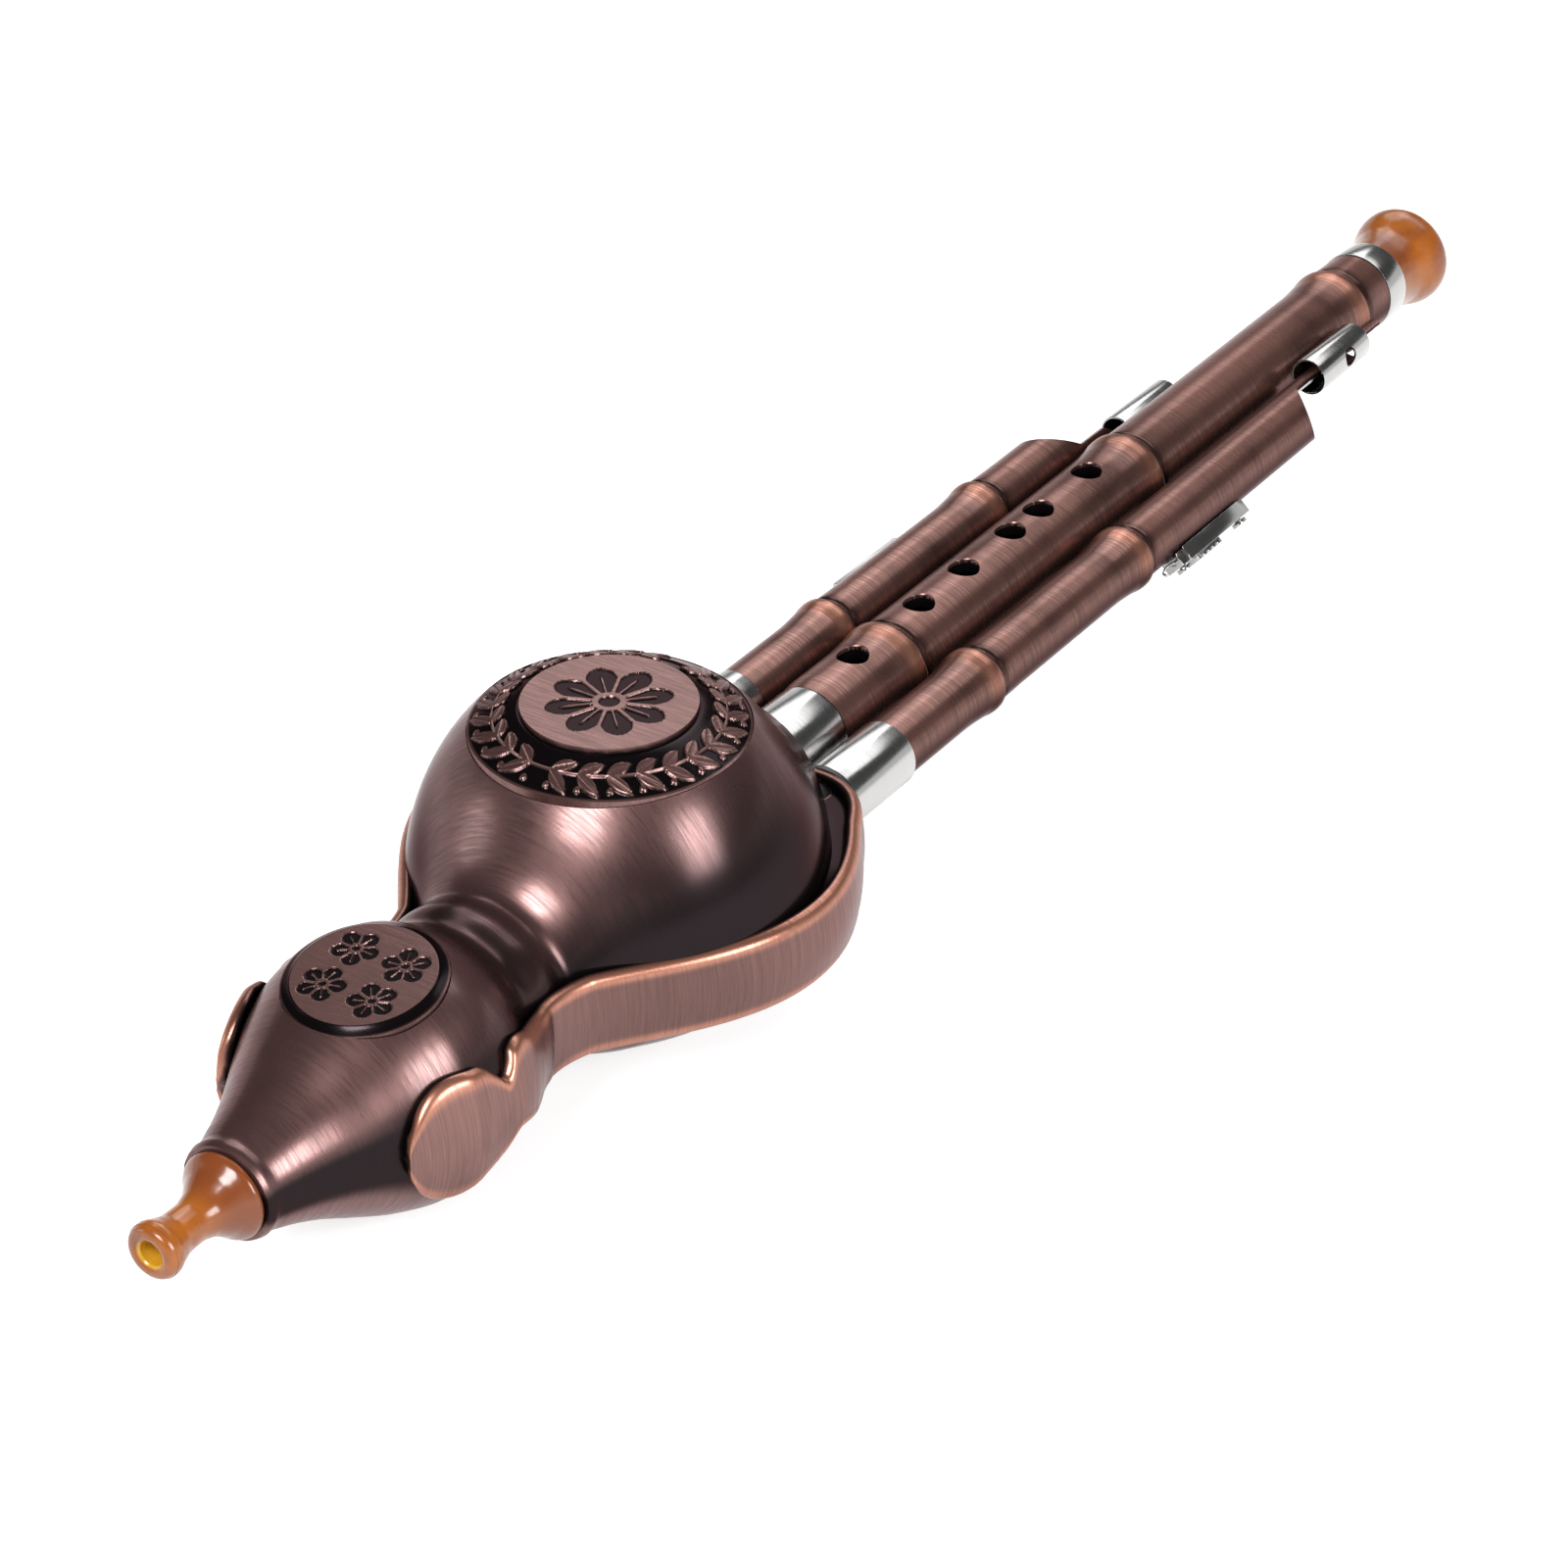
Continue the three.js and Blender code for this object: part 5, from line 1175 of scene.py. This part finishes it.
def sleeve_mesh(name, d):
    """Open tube with rounded rims and a side hole, beside the tongue."""
    s = shape()
    wall, hole_at, hole_radius = 0.5, 12, 2.2
    x = d.side * s.drone_spacing + SLEEVE_OFFSET * math.sin(d.tongue)
    z = SLEEVE_OFFSET * math.cos(d.tongue)
    profile = tube_outline(s.sleeve_radius - wall, s.sleeve_radius, d.sleeve,
                           d.sleeve + SLEEVE_LENGTH, 0.22)
    mesh = make_mesh(f"{name}_sleeve_tube", *turned(profile, 80, x, z))
    faces_hole = d.tongue + math.radians(119)
    centre = np.array([x, d.sleeve + hole_at, z])
    away = np.array([math.sin(faces_hole), 0, math.cos(faces_hole)])
    return cut(mesh, [peg(hole_radius, centre, centre + 8 * away, sides=48)])


class HULUSI_OT_drones(Operator):
    """Builds both drones with their cuts, tongues, liners and tuning sleeves"""
    bl_idname = "hulusi.drones"
    bl_label = "Build drones"

    def execute(self, context):
        for name, d in DRONES.items():
            tube = cut(drone_mesh(name, d), [switch_hole_tool(name)])
            add_piece(f"{name}_drone_tube", tube, "pipe copper", f"{name}_drone",
                      f"{name}_drone_pipe", 40)
            add_piece(f"{name}_tongue_liner", liner_mesh(name, d), "polished nickel",
                      f"{name}_drone", f"{name}_drone_liner")
            add_piece(f"{name}_sleeve_tube", sleeve_mesh(name, d), "polished nickel",
                      f"{name}_sleeve", f"{name}_tuning_sleeve")
        return {"FINISHED"}


class HULUSI_OT_ferrules(Operator):
    """Builds the nickel ferrules at the gourd's face"""
    bl_idname = "hulusi.ferrules"
    bl_label = "Build ferrules"

    def execute(self, context):
        spacing, wall = shape().drone_spacing, 0.7
        for name, body, x, radius, seat in (
                ("main", "main_pipe", 0.0, MAIN_FERRULE_RADIUS, MAIN_SEAT_END),
                ("left_drone", "left_drone", -spacing, DRONE_FERRULE_RADIUS, DRONE_SEAT_END),
                ("right_drone", "right_drone", spacing, DRONE_FERRULE_RADIUS, DRONE_SEAT_END)):
            profile = tube_outline(radius - wall, radius, FERRULE_AT, seat - GAP, 0.32)
            add_turned(f"{name}_ferrule_tube", profile, "polished nickel", body,
                       f"{name}_ferrule", x)
        return {"FINISHED"}


class HULUSI_OT_switches(Operator):
    """Rounds the edges of the slide switches and of the black socket block"""
    bl_idname = "hulusi.switches"
    bl_label = "Finish switches"

    def execute(self, context):
        for name in DRONES:
            for part, body, width in (("base", "drone", 0.12), ("slider", "slider", 0.12),
                                      ("near_screw", "drone", 0.1), ("far_screw", "drone", 0.1)):
                node = f"{name}_switch_{part}"
                softened(f"{node}_metal", node, "polished nickel", f"{name}_{body}", width)
        softened("pipe_socket_block_black", "pipe_socket_block", "black plastic", "gourd", 0.25)
        return {"FINISHED"}


class HULUSI_OT_frame_finishes(Operator):
    """Gives the pieces that keep their CAD shape their finishes"""
    bl_idname = "hulusi.frame_finishes"
    bl_label = "Finish kept pieces"

    def execute(self, context):
        by_ending = {
            "reed_holder": "reed brass", "reed": "reed brass", "switch_pad": "rubber",
            "switch_spring": "polished nickel", "mouthpiece_seal": "rubber", "seal": "cork",
        }
        for name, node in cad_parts.items():
            if not node.hide_render:
                ending = next(end for end in by_ending if name.endswith(end))
                node.data.materials.clear()
                node.data.materials.append(finish(by_ending[ending]))
        return {"FINISHED"}


# Studio


def see_white(wire, seen, otherwise):
    """A number that is one value for camera, glossy and transmission rays, and another for the
    rays that light the object."""
    rays = wire.add("ShaderNodeLightPath")
    direct = wire.maths("MAXIMUM", rays.outputs["Is Camera Ray"], rays.outputs["Is Glossy Ray"])
    direct = wire.maths("MAXIMUM", direct, rays.outputs["Is Transmission Ray"])
    return wire.maths("MULTIPLY_ADD", direct, seen - otherwise, otherwise)


def add_light(name, towards, distance, size, power):
    """Square soft light that faces the instrument from a direction."""
    lamp = bpy.data.lights.new(name, "AREA")
    lamp.shape = "RECTANGLE"
    lamp.size, lamp.size_y = size
    lamp.energy = power
    aim = Vector((0, 0, ORIGIN[2]))
    light = link_new(name, lamp)
    light.location = Vector(towards).normalized() * distance + aim
    light.rotation_euler = (light.location - aim).to_track_quat("Z", "Y").to_euler()


def add_sheet(name, points, faces, level, roughness):
    """Grey sheet of the studio, in metres, that also gives off white light."""
    mesh = bpy.data.meshes.new(name)
    mesh.from_pydata(points, [], faces)
    sheet = link_new(name, mesh)
    wire, shader = blank_material(name)
    mesh.materials.append(bpy.data.materials[name])
    wire.fill(shader, {"Base Color": (level, level, level, 1.0), "Roughness": roughness,
                       "Emission Color": WHITE, "Emission Strength": level})
    return sheet, wire, shader


def add_floor():
    """Pale floor that looks white and keeps the object's shadow."""
    reach = 6.0
    corners = [(-reach, -reach, 0), (reach, -reach, 0), (reach, reach, 0), (-reach, reach, 0)]
    sheet, wire, shader = add_sheet("floor", corners, [(0, 1, 2, 3)], PALE, 0.9)
    wire.fill(shader, {"Emission Strength": see_white(wire, PALE, 0.0)})


def add_ceiling():
    """Dark studio ceiling that only reflections see: part of a sphere, between two heights above
    the horizon in degrees."""
    low, high, reach, level = 14, 89, 2.6, 0.04
    lift = np.radians(np.linspace(low, high, 12))[:, None]
    angle = np.linspace(0.0, 2 * np.pi, 49)[None, :]
    grid = reach * np.stack(np.broadcast_arrays(np.cos(lift) * np.cos(angle),
                                                np.cos(lift) * np.sin(angle), np.sin(lift)), -1)
    faces = quads(*grid.shape[:2]).tolist()
    sheet = add_sheet("dark_ceiling", grid.reshape(-1, 3).tolist(), faces, level, 1.0)[0]
    for kind in ("camera", "diffuse", "transmission", "volume_scatter", "shadow"):
        setattr(sheet, f"visible_{kind}", False)


def add_camera():
    """The photograph's camera, from a fit to the instrument's outline: its place in millimetres
    from the thumb hole's axis point, and its right, up and back directions."""
    data = bpy.data.cameras.new("camera")
    camera = link_new("camera", data)
    place = np.array([469.147, -710.887, 523.966]) * MM + ORIGIN
    right = Vector((0.83542, 0.54961, -0.00234))
    back = Vector((0.46915, -0.71089, 0.52397))
    turn = Matrix((right, back.cross(right), back)).transposed().to_4x4()
    camera.matrix_world = Matrix.Translation(place) @ turn
    data.sensor_width = 36.0
    data.lens = 117.53
    data.shift_x, data.shift_y = -0.02721, -0.04445
    data.clip_end = 30.0
    bpy.context.scene.camera = camera


# Lights: name, direction, distance, size and power.
SOFTBOXES = (
    ("left_softbox", (0.10, -0.74, 0.67), 1.3, (0.46, 0.46), 17.5),
    ("right_softbox", (0.90, -0.12, 0.42), 1.2, (0.42, 0.5), 12.0),
    ("low_softbox", (-0.78, -0.60, 0.22), 1.3, (0.4, 0.3), 1.3),
    ("far_softbox", (0.0, 0.68, 0.80), 1.5, (1.2, 0.5), 5.0),
    ("back_card", (-0.42, 0.64, 0.66), 1.6, (0.8, 0.9), 6.0),
)


class HULUSI_OT_stage(Operator):
    """Adds the pale floor, the soft lights, the white surroundings and the camera"""
    bl_idname = "hulusi.stage"
    bl_label = "Build studio"

    def execute(self, context):
        scene = context.scene
        scene.view_settings.view_transform = "Standard"
        world = scene.world = bpy.data.worlds.new("studio")
        world.use_nodes = True
        wire = Wiring(world.node_tree)
        wire.fill(world.node_tree.nodes["Background"],
                  {"Color": WHITE, "Strength": see_white(wire, 1.0, PALE)})
        add_floor()
        add_ceiling()
        for softbox in SOFTBOXES:
            add_light(*softbox)
        add_camera()
        return {"FINISHED"}


class HULUSI_PT_panel(Panel):
    """Lists the building steps"""
    bl_idname = "HULUSI_PT_panel"
    bl_label = "Hulusi"
    bl_space_type = "VIEW_3D"
    bl_region_type = "UI"
    bl_category = "Hulusi"

    def draw(self, context):
        for step in STEPS:
            self.layout.operator(step.bl_idname)


STEPS = (HULUSI_OT_gourd, HULUSI_OT_medallions, HULUSI_OT_mouthpiece, HULUSI_OT_bell,
         HULUSI_OT_main_pipe, HULUSI_OT_drones, HULUSI_OT_ferrules, HULUSI_OT_switches,
         HULUSI_OT_frame_finishes, HULUSI_OT_stage)
CLASSES = (HulusiShape, HulusiFinish, *STEPS, HULUSI_PT_panel)


def register():
    for item in CLASSES:
        bpy.utils.register_class(item)
    bpy.types.Scene.hulusi_shape = PointerProperty(type=HulusiShape)
    bpy.types.Scene.hulusi_finish = PointerProperty(type=HulusiFinish)


def unregister():
    del bpy.types.Scene.hulusi_finish
    del bpy.types.Scene.hulusi_shape
    for item in reversed(CLASSES):
        bpy.utils.unregister_class(item)


def main():
    register()
    brushing_group()
    patina_group()
    for step in STEPS:
        group, name = step.bl_idname.split(".")
        getattr(getattr(bpy.ops, group), name)()


if __name__ == "__main__":
    main()
